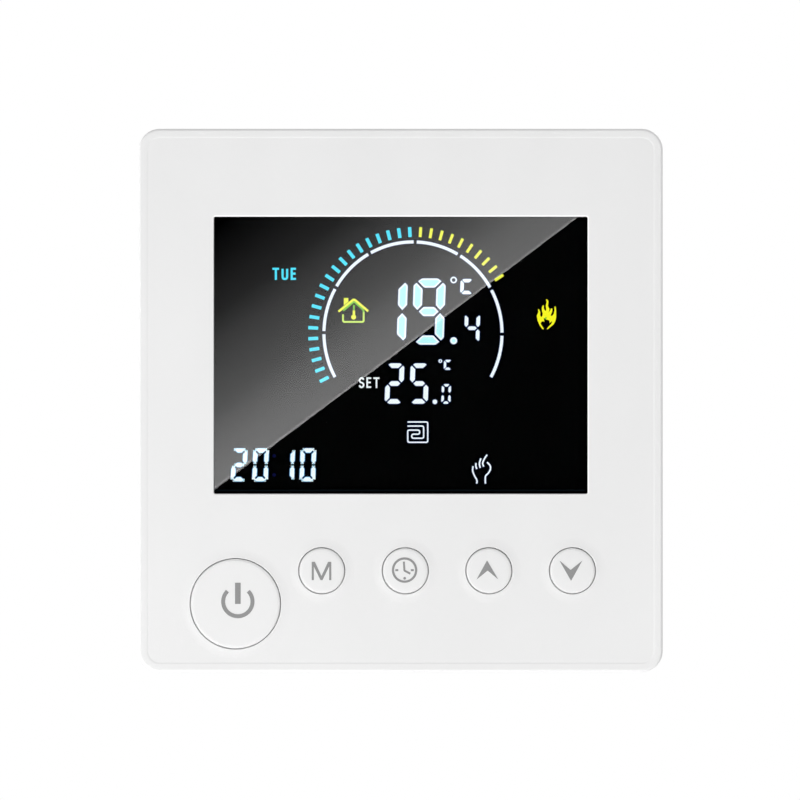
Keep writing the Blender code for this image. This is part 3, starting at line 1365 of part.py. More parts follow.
def main():
    """Builds the thermostat."""
    clear_scene()
    bench = Bench()
    build_front_cover(bench)
    build_display_module(bench)
    build_display_board(bench)
    build_buttons(bench)
    build_rear_housing(bench)
    build_inner_cover(bench)
    build_wall_screws(bench)
    build_power_board(bench)
    build_power_parts(bench)
    build_terminals(bench)


main()
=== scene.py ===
"""The looks of a wall thermostat: its white housing, lit display, push buttons and what lies behind them."""

from __future__ import annotations

import json
import logging
import math
from dataclasses import dataclass
from enum import Enum
from functools import cache
from itertools import product
from typing import Callable, Iterable, Optional, Sequence, Union

import bmesh
import bpy
from mathutils import Matrix, Vector


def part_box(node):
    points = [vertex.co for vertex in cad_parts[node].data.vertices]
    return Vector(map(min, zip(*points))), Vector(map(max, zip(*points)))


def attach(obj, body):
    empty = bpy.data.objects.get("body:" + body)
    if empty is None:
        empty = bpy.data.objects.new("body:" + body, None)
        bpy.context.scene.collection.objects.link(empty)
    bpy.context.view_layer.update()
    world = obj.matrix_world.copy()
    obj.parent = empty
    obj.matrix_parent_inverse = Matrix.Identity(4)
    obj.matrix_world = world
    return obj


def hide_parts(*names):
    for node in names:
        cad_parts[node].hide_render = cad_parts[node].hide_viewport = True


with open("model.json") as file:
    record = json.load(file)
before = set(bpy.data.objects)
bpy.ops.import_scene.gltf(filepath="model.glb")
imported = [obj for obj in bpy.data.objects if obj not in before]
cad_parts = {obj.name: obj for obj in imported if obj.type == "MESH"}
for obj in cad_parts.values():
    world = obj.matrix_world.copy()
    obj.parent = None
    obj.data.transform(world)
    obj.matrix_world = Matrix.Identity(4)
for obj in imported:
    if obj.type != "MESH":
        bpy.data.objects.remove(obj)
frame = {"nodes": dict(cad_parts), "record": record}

LOG = logging.getLogger("thermostat")
MM = 0.001
WELD = 1e-6  # points closer than this are one
RUN_PAST = 1.0 * MM  # how far a cutting tool stands out of what it cuts
SQUARE_ON = 0.9  # the least part of a direction that counts as along an axis

Point = tuple[float, float]
Place = tuple[float, float, float]
Colour = tuple[float, float, float]
Piece = bpy.types.Object
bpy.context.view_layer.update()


# Modelling on the bench


class Kind(Enum):
    """What is picked in edit mode."""

    POINT = "VERT"
    EDGE = "EDGE"
    FACE = "FACE"


class Cut(Enum):
    """What a tool shape does to a piece."""

    AWAY = "DIFFERENCE"
    ON = "UNION"


def added(operator: Callable, name: str, **settings: object) -> Piece:
    """Adds an object with nothing else selected.

    Args:
        operator: the operator that adds it.
        name: the object's name.
        **settings: what the operator is given.

    Returns:
        The object.
    """
    bpy.ops.object.select_all(action="DESELECT")
    operator(**settings)
    bpy.context.active_object.name = name
    return bpy.context.active_object


def only(piece: Piece) -> None:
    """Makes a piece the only one selected, and active.

    Args:
        piece: the piece to work on.
    """
    bpy.ops.object.select_all(action="DESELECT")
    piece.select_set(True)
    bpy.context.view_layer.objects.active = piece


def settle(piece: Piece) -> Piece:
    """Moves a piece's place, turn and scale into its mesh.

    Args:
        piece: the piece.

    Returns:
        The same piece, with its object at the origin.
    """
    only(piece)
    bpy.ops.object.transform_apply(location=True, rotation=True, scale=True)
    return piece


class Editing:
    """Edit mode on one piece, left again at the end of a with block."""

    def __init__(self, piece: Piece, everything: bool = True) -> None:
        """Notes the piece, and whether all of it is selected to start with, or none."""
        self.piece = piece
        self.action = "SELECT" if everything else "DESELECT"

    def __enter__(self) -> "Editing":
        """Enters edit mode.

        Returns:
            This, for its methods.
        """
        only(self.piece)
        bpy.ops.object.mode_set(mode="EDIT")
        bpy.ops.mesh.select_mode(type="VERT")
        bpy.ops.mesh.select_all(action=self.action)
        return self

    def __exit__(self, *_: object) -> None:
        """Leaves edit mode."""
        bpy.ops.object.mode_set(mode="OBJECT")

    def pick(self, kind: Kind, test: Callable[[Vector, Vector], bool]) -> int:
        """Selects what passes a test, and nothing else.

        Args:
            kind: points, edges or faces.
            test: takes an item's middle, and its normal or, for an edge, its direction.

        Returns:
            How many items were selected.
        """
        bpy.ops.mesh.select_mode(type=kind.value)
        bpy.ops.mesh.select_all(action="DESELECT")
        mesh = bmesh.from_edit_mesh(self.piece.data)
        chosen = 0
        for item in {Kind.POINT: mesh.verts, Kind.EDGE: mesh.edges, Kind.FACE: mesh.faces}[kind]:
            if kind is Kind.POINT:
                middle, way = item.co, item.normal
            elif kind is Kind.EDGE:
                first, last = (v.co for v in item.verts)
                middle, way = (first + last) / 2, (last - first).normalized()
            else:
                middle, way = item.calc_center_median(), item.normal
            if test(middle, way):
                item.select_set(True)
                chosen += 1
        mesh.select_flush_mode()
        bmesh.update_edit_mesh(self.piece.data)
        return chosen

    @staticmethod
    def slide(by: Sequence[float]) -> None:
        """Moves what is selected."""
        bpy.ops.transform.translate(value=by)

    @staticmethod
    def push(by: Sequence[float]) -> None:
        """Extrudes what is selected by a distance along each axis."""
        bpy.ops.mesh.extrude_region_move(TRANSFORM_OT_translate={"value": by})

    @staticmethod
    def inset(by: float) -> None:
        """Insets the selected faces."""
        bpy.ops.mesh.inset(thickness=by, use_even_offset=True)

    @staticmethod
    def bevel(width: float, steps: int, affect: str = "EDGES") -> None:
        """Rounds the selected edges or corners."""
        bpy.ops.mesh.bevel(offset=width, segments=steps, affect=affect, clamp_overlap=True)

    @staticmethod
    def weld() -> None:
        """Merges points that meet, and turns the faces outwards."""
        bpy.ops.mesh.select_all(action="SELECT")
        bpy.ops.mesh.remove_doubles(threshold=WELD)
        bpy.ops.mesh.normals_make_consistent(inside=False)


def apply_modifier(piece: Piece, kind: str, **settings: object) -> Piece:
    """Adds a modifier to a piece and applies it.

    Args:
        piece: the piece.
        kind: the modifier's type.
        **settings: its values.

    Returns:
        The same piece.
    """
    only(piece)
    modifier = piece.modifiers.new(kind.title(), kind)
    for name, value in settings.items():
        setattr(modifier, name, value)
    bpy.ops.object.modifier_apply(modifier=modifier.name)
    return piece


def soften(piece: Piece, width: float, steps: int = 2, angle: float = 35.0) -> Piece:
    """Rounds a piece's sharp edges and shades it smooth.

    Args:
        piece: the piece.
        width: the rounding's width.
        steps: how many faces the rounding has.
        angle: the least angle of an edge that is rounded, in degrees.

    Returns:
        The same piece.
    """
    apply_modifier(
        piece, "BEVEL", width=width, segments=steps, limit_method="ANGLE",
        angle_limit=math.radians(angle), use_clamp_overlap=True,
    )
    return smooth(piece)


def smooth(piece: Piece, angle: float = 32.0) -> Piece:
    """Shades a piece smooth apart from its sharp edges, with its flat faces kept flat.

    Args:
        piece: the piece.
        angle: the least angle of an edge that stays sharp, in degrees.

    Returns:
        The same piece.
    """
    only(piece)
    bpy.ops.object.shade_smooth_by_angle(angle=math.radians(angle))
    return apply_modifier(piece, "WEIGHTED_NORMAL", keep_sharp=True)


def joined(pieces: Sequence[Piece], name: str) -> Piece:
    """Joins pieces into one.

    Args:
        pieces: what to join.
        name: the name of the result.

    Returns:
        The joined piece.
    """
    bpy.ops.object.select_all(action="DESELECT")
    for piece in pieces:
        piece.select_set(True)
    bpy.context.view_layer.objects.active = pieces[0]
    if len(pieces) > 1:
        bpy.ops.object.join()
    pieces[0].name = name
    return pieces[0]


def block(name: str, low: Sequence[float], high: Sequence[float]) -> Piece:
    """A box between two corners, with its place in its mesh.

    Args:
        name: the piece's name.
        low: its lowest corner.
        high: its highest corner.

    Returns:
        The piece.
    """
    centre = [(a + b) / 2 for a, b in zip(low, high)]
    piece = added(bpy.ops.mesh.primitive_cube_add, name, size=1.0, location=centre)
    piece.scale = [b - a for a, b in zip(low, high)]
    return settle(piece)


def rounded_block(
    name: str, low: Sequence[float], high: Sequence[float], radius: float, steps: int = 10, edge: float = 0.0
) -> Piece:
    """A box whose four edges along y are round.

    Args:
        name: the piece's name.
        low: its lowest corner.
        high: its highest corner.
        radius: the radius of its corners.
        steps: how many faces a corner has.
        edge: the rounding of its other edges, or none.

    Returns:
        The piece.
    """
    piece = block(name, low, high)
    with Editing(piece, everything=False) as edit:
        edit.pick(Kind.EDGE, lambda _, way: abs(way.y) > SQUARE_ON)
        edit.bevel(radius, steps)
    return soften(piece, edge, 3) if edge else piece


def spun(name: str, profile: Sequence[Point], at: Sequence[float], steps: int = 64) -> Piece:
    """A profile spun round an axis along y.

    Args:
        name: the piece's name.
        profile: (radius, y) points; a radius of 0 closes an end.
        at: the point that the profile's own origin goes to.
        steps: how many faces go round.

    Returns:
        The piece.
    """
    piece = added(bpy.ops.mesh.primitive_plane_add, name, size=MM, location=(0, 0, 0))
    with Editing(piece):
        bpy.ops.mesh.merge(type="CENTER")
        bpy.ops.transform.translate(value=(profile[0][0], profile[0][1], 0))
        for (r0, y0), (r1, y1) in zip(profile, profile[1:]):
            bpy.ops.mesh.extrude_vertices_move(TRANSFORM_OT_translate={"value": (r1 - r0, y1 - y0, 0)})
        bpy.ops.mesh.select_all(action="SELECT")
        bpy.ops.mesh.spin(steps=steps, angle=math.tau, center=(0, 0, 0), axis=(0, 1, 0))
        Editing.weld()
    piece.location = at
    return settle(piece)


def ring_of_points(name: str, points: Sequence[Point], y: float, filled: bool) -> Piece:
    """A ring with one point at each place, as a face or as bare edges.

    Args:
        name: the piece's name.
        points: (x, z) places.
        y: its depth.
        filled: makes it a face.

    Returns:
        The piece.
    """
    fill = "NGON" if filled else "NOTHING"
    piece = added(bpy.ops.mesh.primitive_circle_add, name, vertices=len(points), radius=MM, fill_type=fill)
    for vertex, (x, z) in zip(piece.data.vertices, points):
        vertex.co = (x, y, z)
    return settle(piece)


def slab(name: str, points: Sequence[Point], front: float, back: float) -> Piece:
    """An outline filled and extruded along y.

    Args:
        name: the piece's name.
        points: (x, z) points of the outline.
        front: the depth of its front.
        back: the depth of its back.

    Returns:
        The piece.
    """
    piece = ring_of_points(name, points, front, True)
    with Editing(piece) as edit:
        edit.push((0, back - front, 0))
        edit.weld()
    return piece


def stroke(
    name: str, points: Sequence[Point], width: float, front: float, back: float, closed: bool = False
) -> Piece:
    """A line of even width through points, standing between two depths.

    Args:
        name: the piece's name.
        points: (x, z) points of its middle.
        width: its width.
        front: the depth of its front.
        back: the depth of its back.
        closed: joins its last point to its first.

    Returns:
        The piece.
    """
    places = list(points)
    if len(places) == 2:
        (x0, z0), (x1, z1) = places
        places.insert(1, ((x0 + x1) / 2, (z0 + z1) / 2))
    piece = ring_of_points(name, places, front, False)
    with Editing(piece) as edit:
        if not closed:
            (x0, z0), (x1, z1) = places[0], places[-1]
            closing = Vector(((x0 + x1) / 2, front, (z0 + z1) / 2))
            edit.pick(Kind.EDGE, lambda middle, _: (middle - closing).length < WELD)
            bpy.ops.mesh.delete(type="EDGE")
            bpy.ops.mesh.select_all(action="SELECT")
        bpy.ops.mesh.extrude_edges_move(TRANSFORM_OT_translate={"value": (0, back - front, 0)})
    return apply_modifier(piece, "SOLIDIFY", thickness=width, offset=0.0, use_even_offset=True)


def combine(piece: Piece, tool: Piece, how: Cut) -> Piece:
    """Cuts a tool shape out of a piece, or joins it on, and removes the tool.

    Args:
        piece: the piece.
        tool: the tool shape.
        how: away or on.

    Returns:
        The piece.
    """
    apply_modifier(piece, "BOOLEAN", operation=how.value, solver="EXACT", object=tool)
    bpy.data.objects.remove(tool)
    return piece


def copy_of(node: str, name: str) -> Piece:
    """A copy of one of the frame's nodes with its points merged and its flat faces whole.

    Args:
        node: the node.
        name: the copy's name.

    Returns:
        The copy.
    """
    bpy.ops.object.select_all(action="DESELECT")
    source = frame["nodes"][node]
    piece = bpy.data.objects.new(name, source.data.copy())
    bpy.context.scene.collection.objects.link(piece)
    piece.data.materials.clear()
    if piece.data.has_custom_normals:
        only(piece)
        bpy.ops.mesh.customdata_custom_splitnormals_clear()
    with Editing(piece):
        bpy.ops.mesh.remove_doubles(threshold=WELD)
        bpy.ops.mesh.dissolve_limited(angle_limit=math.radians(0.5))
    return piece


def arc(centre: Point, radius: float, start: float, end: float, steps: int) -> list[Point]:
    """Points along an arc, with its angles in degrees from +x towards +z."""
    angles = [math.radians(start + (end - start) * i / steps) for i in range(steps + 1)]
    return [(centre[0] + radius * math.cos(a), centre[1] + radius * math.sin(a)) for a in angles]


def circle(centre: Point, radius: float) -> list[Point]:
    """The points of a small drawn circle, each once."""
    return arc(centre, radius, 0, 345, 23)


def in_mm(points: Iterable[Point]) -> list[Point]:
    """Points given in millimetres, in metres."""
    return [(u * MM, v * MM) for u, v in points]


def middle_of(node: str) -> Point:
    """The middle of a node's box across the face, as (x, z)."""
    low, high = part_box(node)
    return (low.x + high.x) / 2, (low.z + high.z) / 2


def flowing(points: Sequence[Point], closed: bool = False, steps: int = 5) -> list[Point]:
    """A smooth line through points.

    Args:
        points: the points it passes through.
        closed: joins its last point to its first.
        steps: how many points it has for each one given.

    Returns:
        The line's points.
    """
    count = len(points)
    spans = count if closed else count - 1
    line: list[Point] = []
    for i in range(spans):
        around = []
        for j in (i - 1, i, i + 1, i + 2):
            around.append(Vector(points[j % count] if closed else points[min(max(j, 0), count - 1)]))
        before, first, last, after = around
        for step in range(steps):
            t = step / steps
            bend = (last - before) * t + (2 * before - 5 * first + 4 * last - after) * t**2
            bend += (3 * first - before - 3 * last + after) * t**3
            place = first + bend / 2
            line.append((place.x, place.y))
    if not closed:
        line.append(tuple(points[-1]))
    return line


def rounded(points: Sequence[Point], radius: float, closed: bool = False, steps: int = 4) -> list[Point]:
    """A line of straight runs with each bend rounded.

    Args:
        points: its corners.
        radius: how far from each corner its rounding begins.
        closed: joins its last point to its first.
        steps: how many faces a bend has.

    Returns:
        The line's points.
    """
    line: list[Point] = []
    count = len(points)
    for i, corner in enumerate(points):
        if not closed and i in (0, count - 1):
            line.append(tuple(corner))
            continue
        here = Vector(corner)
        start = here + (Vector(points[i - 1]) - here).normalized() * radius
        end = here + (Vector(points[(i + 1) % count]) - here).normalized() * radius
        for step in range(steps + 1):
            t = step / steps
            place = start * (1 - t) ** 2 + here * 2 * t * (1 - t) + end * t**2
            line.append((place.x, place.y))
    return line


# Shader maths


Number = Union["Wire", float]


class Wire:
    """A socket of a material's node tree, on which arithmetic adds Math nodes."""

    def __init__(self, graph: "Graph", socket: bpy.types.NodeSocket) -> None:
        """Wraps a socket."""
        self.graph = graph
        self.socket = socket

    def math(self, operation: str, *others: Number) -> "Wire":
        """Adds a Math node of this value and others."""
        return self.graph.maths(operation, self, *others)

    def __add__(self, other: Number) -> "Wire":
        """This plus the other."""
        return self.math("ADD", other)

    __radd__ = __add__

    def __mul__(self, other: Number) -> "Wire":
        """This times the other."""
        return self.math("MULTIPLY", other)

    __rmul__ = __mul__

    def __sub__(self, other: Number) -> "Wire":
        """This less the other."""
        return self.math("SUBTRACT", other)

    def __rsub__(self, other: Number) -> "Wire":
        """The other less this."""
        return self.graph.maths("SUBTRACT", other, self)

    def __truediv__(self, other: Number) -> "Wire":
        """This over the other."""
        return self.math("DIVIDE", other)

    def __pow__(self, other: Number) -> "Wire":
        """This to a power."""
        return self.math("POWER", other)

    def __lt__(self, other: Number) -> "Wire":
        """1 where this is less than the other."""
        return self.math("LESS_THAN", other)

    def __gt__(self, other: Number) -> "Wire":
        """1 where this is more than the other."""
        return self.math("GREATER_THAN", other)

    def __abs__(self) -> "Wire":
        """Its size, without its sign."""
        return self.math("ABSOLUTE")

    def __mod__(self, other: Number) -> "Wire":
        """What is left over when it is divided, never negative."""
        return self.math("FLOORED_MODULO", other)

    def most(self, other: Number) -> "Wire":
        """The greater of the two."""
        return self.math("MAXIMUM", other)

    def ease(self, low: float, high: float) -> "Wire":
        """0 below low, 1 above high, and smooth between."""
        return self.graph.node(
            "ShaderNodeMapRange",
            {"interpolation_type": "SMOOTHSTEP"},
            {"Value": self, "From Min": low, "From Max": high},
        )


class Graph:
    """The node tree of a material with one Principled shader, or of the world with its background."""

    def __init__(self, owner: Union[bpy.types.Material, bpy.types.World]) -> None:
        """Turns on the owner's nodes.

        Args:
            owner: the new material or world.
        """
        owner.use_nodes = True
        self.owner = owner
        self.tree = owner.node_tree
        shader = "Background" if isinstance(owner, bpy.types.World) else "Principled BSDF"
        self.shader = self.tree.nodes[shader]

    def node(
        self,
        kind: str,
        settings: Optional[dict] = None,
        inputs: Optional[dict] = None,
        output: Union[int, str] = 0,
    ) -> Wire:
        """Adds a node.

        Args:
            kind: the node's type.
            settings: its properties, set first; "stops" are a ramp's (place, grey) pairs.
            inputs: the value or the link of each of its sockets, by name or number.
            output: which of its outputs to return.

        Returns:
            The output, wrapped.
        """
        made = self.tree.nodes.new(kind)
        for name, value in (settings or {}).items():
            if name == "stops":
                self._set_stops(made.color_ramp, value)
            else:
                setattr(made, name, value)
        for name, value in (inputs or {}).items():
            self.feed(made.inputs[name], value)
        return Wire(self, made.outputs[output])

    @staticmethod
    def _set_stops(ramp: bpy.types.ColorRamp, stops: Sequence[Point]) -> None:
        """Gives a colour ramp its stops.

        Args:
            ramp: the ramp.
            stops: (place, grey) pairs.
        """
        while len(ramp.elements) < len(stops):
            ramp.elements.new(0.5)
        for element, (place, grey) in zip(ramp.elements, stops):
            element.position = place
            element.color = (grey, grey, grey, 1.0)

    def feed(self, socket: bpy.types.NodeSocket, value: object) -> None:
        """Links a wire to a socket, or sets the socket's own value.

        Args:
            socket: the socket.
            value: a wire, a number or a colour.
        """
        if isinstance(value, Wire):
            self.tree.links.new(value.socket, socket)
        elif isinstance(value, tuple) and len(value) == 3 and socket.type == "RGBA":
            socket.default_value = (*value, 1.0)
        else:
            socket.default_value = value

    def maths(self, operation: str, *values: Number) -> Wire:
        """Adds a Math node."""
        return self.node("ShaderNodeMath", {"operation": operation}, dict(enumerate(values)))

    def place(self) -> Wire:
        """The point's place in metres."""
        return self.node("ShaderNodeTexCoord", output="Object")

    def axes(self) -> tuple[Wire, Wire, Wire]:
        """The point's x, y and z in millimetres."""
        split = self.node("ShaderNodeSeparateXYZ", inputs={0: self.place()}).socket.node
        return tuple(Wire(self, split.outputs[i]) * 1000.0 for i in range(3))

    def noise(self, per_mm: float, detail: float = 2.0, stretch: Place = (1.0, 1.0, 1.0)) -> Wire:
        """Soft noise.

        Args:
            per_mm: how many features there are to a millimetre, about.
            detail: how much finer noise lies over it.
            stretch: how much closer together the features are along each axis.

        Returns:
            The noise, from 0 to 1.
        """
        place = self.node("ShaderNodeVectorMath", {"operation": "MULTIPLY"}, {0: self.place(), 1: stretch})
        inputs = {"Vector": place, "Scale": per_mm / MM, "Detail": detail}
        return self.node("ShaderNodeTexNoise", inputs=inputs)

    def cells(self, per_mm: float) -> Wire:
        """How far the point is from its cell's middle, with cells of about 1 / per_mm millimetres."""
        return self.node("ShaderNodeTexVoronoi", inputs={"Vector": self.place(), "Scale": per_mm / MM})

    def mix(self, share: Number, first: object, second: object) -> Wire:
        """Mixes two colours.

        Args:
            share: how much of the second, from 0 to 1.
            first: the first colour.
            second: the second.

        Returns:
            The mixed colour.
        """
        made = self.tree.nodes.new("ShaderNodeMix")
        made.data_type = "RGBA"
        colours = [socket for socket in made.inputs if socket.type == "RGBA"]
        self.feed(made.inputs[0], share)
        self.feed(colours[0], first)
        self.feed(colours[1], second)
        return Wire(self, next(socket for socket in made.outputs if socket.type == "RGBA"))

    def bump(self, height: Wire, depth: float) -> None:
        """Raises the surface by a height from 0 to 1, depth millimetres deep."""
        inputs = {"Height": height, "Distance": depth * MM, "Strength": 1.0}
        self.feed(self.shader.inputs["Normal"], self.node("ShaderNodeBump", inputs=inputs))

    def seen(self) -> Wire:
        """1 for a ray from the camera, a mirror or glass, and 0 for one that lights.

        Returns:
            The wire.
        """
        path = self.tree.nodes.new("ShaderNodeLightPath").outputs
        kinds = ("Camera", "Glossy", "Transmission")
        camera, glossy, glass = (Wire(self, path[f"Is {kind} Ray"]) for kind in kinds)
        return camera.most(glossy).most(glass)

    def surface(self, wire: Wire) -> bpy.types.Material:
        """Gives the material a surface of its own, and returns it."""
        self.feed(self.tree.nodes["Material Output"].inputs["Surface"], wire)
        return self.owner

    def finish(self, **values: object) -> None:
        """Sets the shader's sockets.

        Args:
            **values: the value or the wire of each socket, named with _ for a space.
        """
        for name, value in values.items():
            self.feed(self.shader.inputs[name.replace("_", " ").title().replace("Ior", "IOR")], value)


def shade(colour: Colour, times: float) -> Colour:
    """A colour made lighter or darker."""
    return tuple(min(part * times, 1.0) for part in colour)


# Finishes


@dataclass(frozen=True)
class Finish:
    """A finish, made into a material the first time that a piece wears it."""

    name: str
    colour: Colour = (0.8, 0.8, 0.8)
    roughness: float = 0.45

    @cache
    def material(self) -> bpy.types.Material:
        """The finish's material, made the first time that it is asked for.

        Returns:
            The material.
        """
        graph = Graph(bpy.data.materials.new(self.name))
        self.dress(graph)
        return graph.owner

    def dress(self, graph: Graph) -> None:
        """Fills in the material's node tree."""
        raise NotImplementedError


@dataclass(frozen=True)
class MouldedPlastic(Finish):
    """Moulded plastic with the fine texture of its mould, faint flow marks and handling wear."""

    grain: float = 3.0  # how many grains there are to a millimetre
    depth: float = 0.006
    mottle: float = 0.012
    specular: float = 0.36

    def dress(self, graph: Graph) -> None:
        """Fills in the material.

        Args:
            graph: its node tree.
        """
        grain = graph.noise(self.grain, 3.0)
        flow = graph.noise(0.05, 2.0, (1.0, 1.0, 0.4)).ease(0.3, 0.7)
        rubbed = graph.noise(0.6, 5.0, (1.0, 1.0, 3.0)).ease(0.62, 0.72)
        graph.bump(grain, self.depth)
        colour = graph.mix(flow, shade(self.colour, 1 - self.mottle), shade(self.colour, 1 + self.mottle))
        graph.finish(
            base_color=colour, roughness=grain * 0.10 + (self.roughness - 0.05) - rubbed * 0.06,
            specular_ior_level=self.specular,
        )


@dataclass(frozen=True)
class ClearLens(Finish):
    """Clear polished acrylic with a trace of wiping marks."""

    roughness: float = 0.0
    ior: float = 1.49

    def dress(self, graph: Graph) -> None:
        """Fills in the material.

        Args:
            graph: its node tree.
        """
        wiped = graph.noise(0.12, 4.0, (1.0, 1.0, 5.0)).ease(0.55, 0.8)
        graph.finish(
            base_color=(1.0, 1.0, 1.0), roughness=wiped * 0.012 + self.roughness,
            transmission_weight=1.0, ior=self.ior,
        )


@dataclass(frozen=True)
class DisplayGlass(Finish):
    """Black display glass, whose dark cells show as a faint tint."""

    colour: Colour = (0.0012, 0.0013, 0.0016)
    roughness: float = 0.02
    pitch: float = 0.35
    line: float = 0.05

    def dress(self, graph: Graph) -> None:
        """Fills in the material.

        Args:
            graph: its node tree.
        """
        x, _, z = graph.axes()
        grid = ((x % self.pitch) < self.line).most((z % self.pitch) < self.line)
        tint = graph.noise(0.03, 1.0)
        colour = graph.mix(grid * 0.5 + tint * 0.5, self.colour, shade(self.colour, 1.6))
        graph.finish(base_color=colour, roughness=self.roughness + tint * 0.01, specular_ior_level=0.0)


@dataclass(frozen=True)
class Glow(Finish):
    """A lit segment, a little uneven like the light behind it."""

    strength: float = 1.08

    def dress(self, graph: Graph) -> None:
        """Fills in the material.

        Args:
            graph: its node tree.
        """
        even = graph.noise(0.25, 1.0).ease(0.2, 0.8)
        colour = graph.mix(even, shade(self.colour, 0.93), self.colour)
        graph.finish(
            base_color=(0.0, 0.0, 0.0), roughness=self.roughness, specular_ior_level=0.0,
            emission_color=colour, emission_strength=self.strength,
        )


@dataclass(frozen=True)
class PrintedInk(Finish):
    """Pad-printed ink, slightly worn and slightly raised."""

    def dress(self, graph: Graph) -> None:
        """Fills in the material.

        Args:
            graph: its node tree.
        """
        worn = graph.noise(5.0, 4.0)
        graph.bump(worn, 0.004)
        colour = graph.mix(worn.ease(0.3, 0.8), shade(self.colour, 0.94), shade(self.colour, 1.05))
        graph.finish(base_color=colour, roughness=self.roughness + worn * 0.1)


@dataclass(frozen=True)
class CircuitBoard(Finish):
    """Green solder mask over copper tracks, with vias and white part outlines.

    Outlines are (x, z, half width, half height) in millimetres.
    """

    colour: Colour = (0.008, 0.105, 0.035)
    roughness: float = 0.32
    pitch: float = 1.27
    half_track: float = 0.2
    half_line: float = 0.09
    outlines: tuple[tuple[float, float, float, float], ...] = ()
    copper: Colour = (0.03, 0.24, 0.075)
    tin: Colour = (0.62, 0.60, 0.55)
    drilled: Colour = (0.02, 0.02, 0.02)
    ink: Colour = (0.75, 0.76, 0.74)

    def tracks(self, graph: Graph, across: Wire, stretch: Place) -> Wire:
        """1 on the copper that runs one way, where a stretched noise lets it run."""
        line = abs(across % self.pitch - self.pitch / 2) < self.half_track
        return line * (graph.noise(0.5, 0.0, stretch) > 0.47)

    def dress(self, graph: Graph) -> None:
        """Fills in the material.

        Args:
            graph: its node tree.
        """
        x, _, z = graph.axes()
        zone = graph.noise(0.09, 0.0) > 0.5
        level = self.tracks(graph, z, (0.18, 1.0, 2.2))
        upright = self.tracks(graph, x, (2.2, 1.0, 0.18))
        copper = level * zone + upright * (1 - zone)
        spot = graph.cells(0.32)
        via = (spot * 3.0 < 0.36) * (graph.noise(0.3, 0.0) > 0.42)
        hole = spot * 3.0 < 0.17
        white = x * 0.0
        for place_x, place_z, half_x, half_z in self.outlines:
            out = (abs(x - place_x) - half_x).most(abs(z - place_z) - half_z)
            white = white.most(abs(out) < self.half_line)
        mask = graph.mix(graph.noise(0.2, 3.0), shade(self.colour, 0.85), shade(self.colour, 1.15))
        tinned = graph.mix(via, graph.mix(copper, mask, self.copper), self.tin)
        printed = graph.mix(white, graph.mix(hole * via, tinned, self.drilled), self.ink)
        graph.bump(copper * 0.6 + white * 0.5 + via * 0.8 - hole * via, 0.03)
        graph.finish(
            base_color=printed, roughness=self.roughness + white * 0.3, metallic=(via - hole * via).most(0.0)
        )


@dataclass(frozen=True)
class Metal(Finish):
    """Plated or bare metal with drawn lines, fine scratches and dull spots."""

    roughness: float = 0.28
    drawn: Place = (6.0, 1.0, 6.0)
    stain: float = 0.12

    def dress(self, graph: Graph) -> None:
        """Fills in the material.

        Args:
            graph: its node tree.
        """
        lines = graph.noise(2.5, 4.0, self.drawn)
        dull = graph.noise(0.35, 4.0).ease(0.5, 0.75)
        graph.bump(lines, 0.004)
        colour = graph.mix(dull, self.colour, shade(self.colour, 1 - self.stain))
        graph.finish(
            base_color=colour, metallic=1.0, roughness=lines * 0.14 + dull * 0.12 + (self.roughness - 0.07)
        )


@dataclass(frozen=True)
class StripedRubber(Finish):
    """Contact rubber, with dark conducting leaves between pale ones."""

    colour: Colour = (0.34, 0.34, 0.37)
    roughness: float = 0.75
    pitch: float = 0.5
    leaf: Colour = (0.03, 0.03, 0.035)

    def dress(self, graph: Graph) -> None:
        """Fills in the material.

        Args:
            graph: its node tree.
        """
        x, _, _ = graph.axes()
        leaf = (x % self.pitch) < self.pitch * 0.4
        graph.bump(leaf + graph.noise(4.0, 2.0) * 0.3, 0.02)
        colour = graph.mix(leaf, self.colour, self.leaf)
        graph.finish(base_color=colour, roughness=leaf * 0.1 + self.roughness)


@dataclass(frozen=True)
class FilmWithDots(Finish):
    """Pale light-spreading plastic printed with dots."""

    colour: Colour = (0.78, 0.81, 0.84)
    roughness: float = 0.2
    pitch: float = 1.2
    dot: Colour = (0.9, 0.9, 0.9)

    def dress(self, graph: Graph) -> None:
        """Fills in the material.

        Args:
            graph: its node tree.
        """
        x, _, z = graph.axes()
        out = (abs(x % self.pitch - self.pitch / 2)).most(abs(z % self.pitch - self.pitch / 2))
        dot = out < self.pitch * 0.22
        graph.bump(dot, 0.01)
        colour = graph.mix(dot, self.colour, self.dot)
        graph.finish(base_color=colour, roughness=dot * 0.4 + self.roughness)


@dataclass(frozen=True)
class Sleeve(Finish):
    """A shrunk sleeve with a pale stripe down one side of the can."""

    colour: Colour = (0.012, 0.02, 0.07)
    roughness: float = 0.28
    centre: Point = (0.0, 0.0)
    half_stripe: float = 1.1
    half_dash: float = 0.35
    dash_length: float = 2.0
    stripe: Colour = (0.5, 0.52, 0.55)

    def dress(self, graph: Graph) -> None:
        """Fills in the material.

        Args:
            graph: its node tree.
        """
        x, y, z = graph.axes()
        off, side = abs(z - self.centre[1]), x < self.centre[0]
        stripe = (off < self.half_stripe) * side
        dash = (off < self.half_dash) * ((y % (2 * self.dash_length)) < self.dash_length) * side
        graph.bump(graph.noise(1.2, 3.0), 0.02)
        colour = graph.mix(dash, graph.mix(stripe, self.colour, self.stripe), self.colour)
        graph.finish(base_color=colour, roughness=self.roughness + stripe * 0.1)


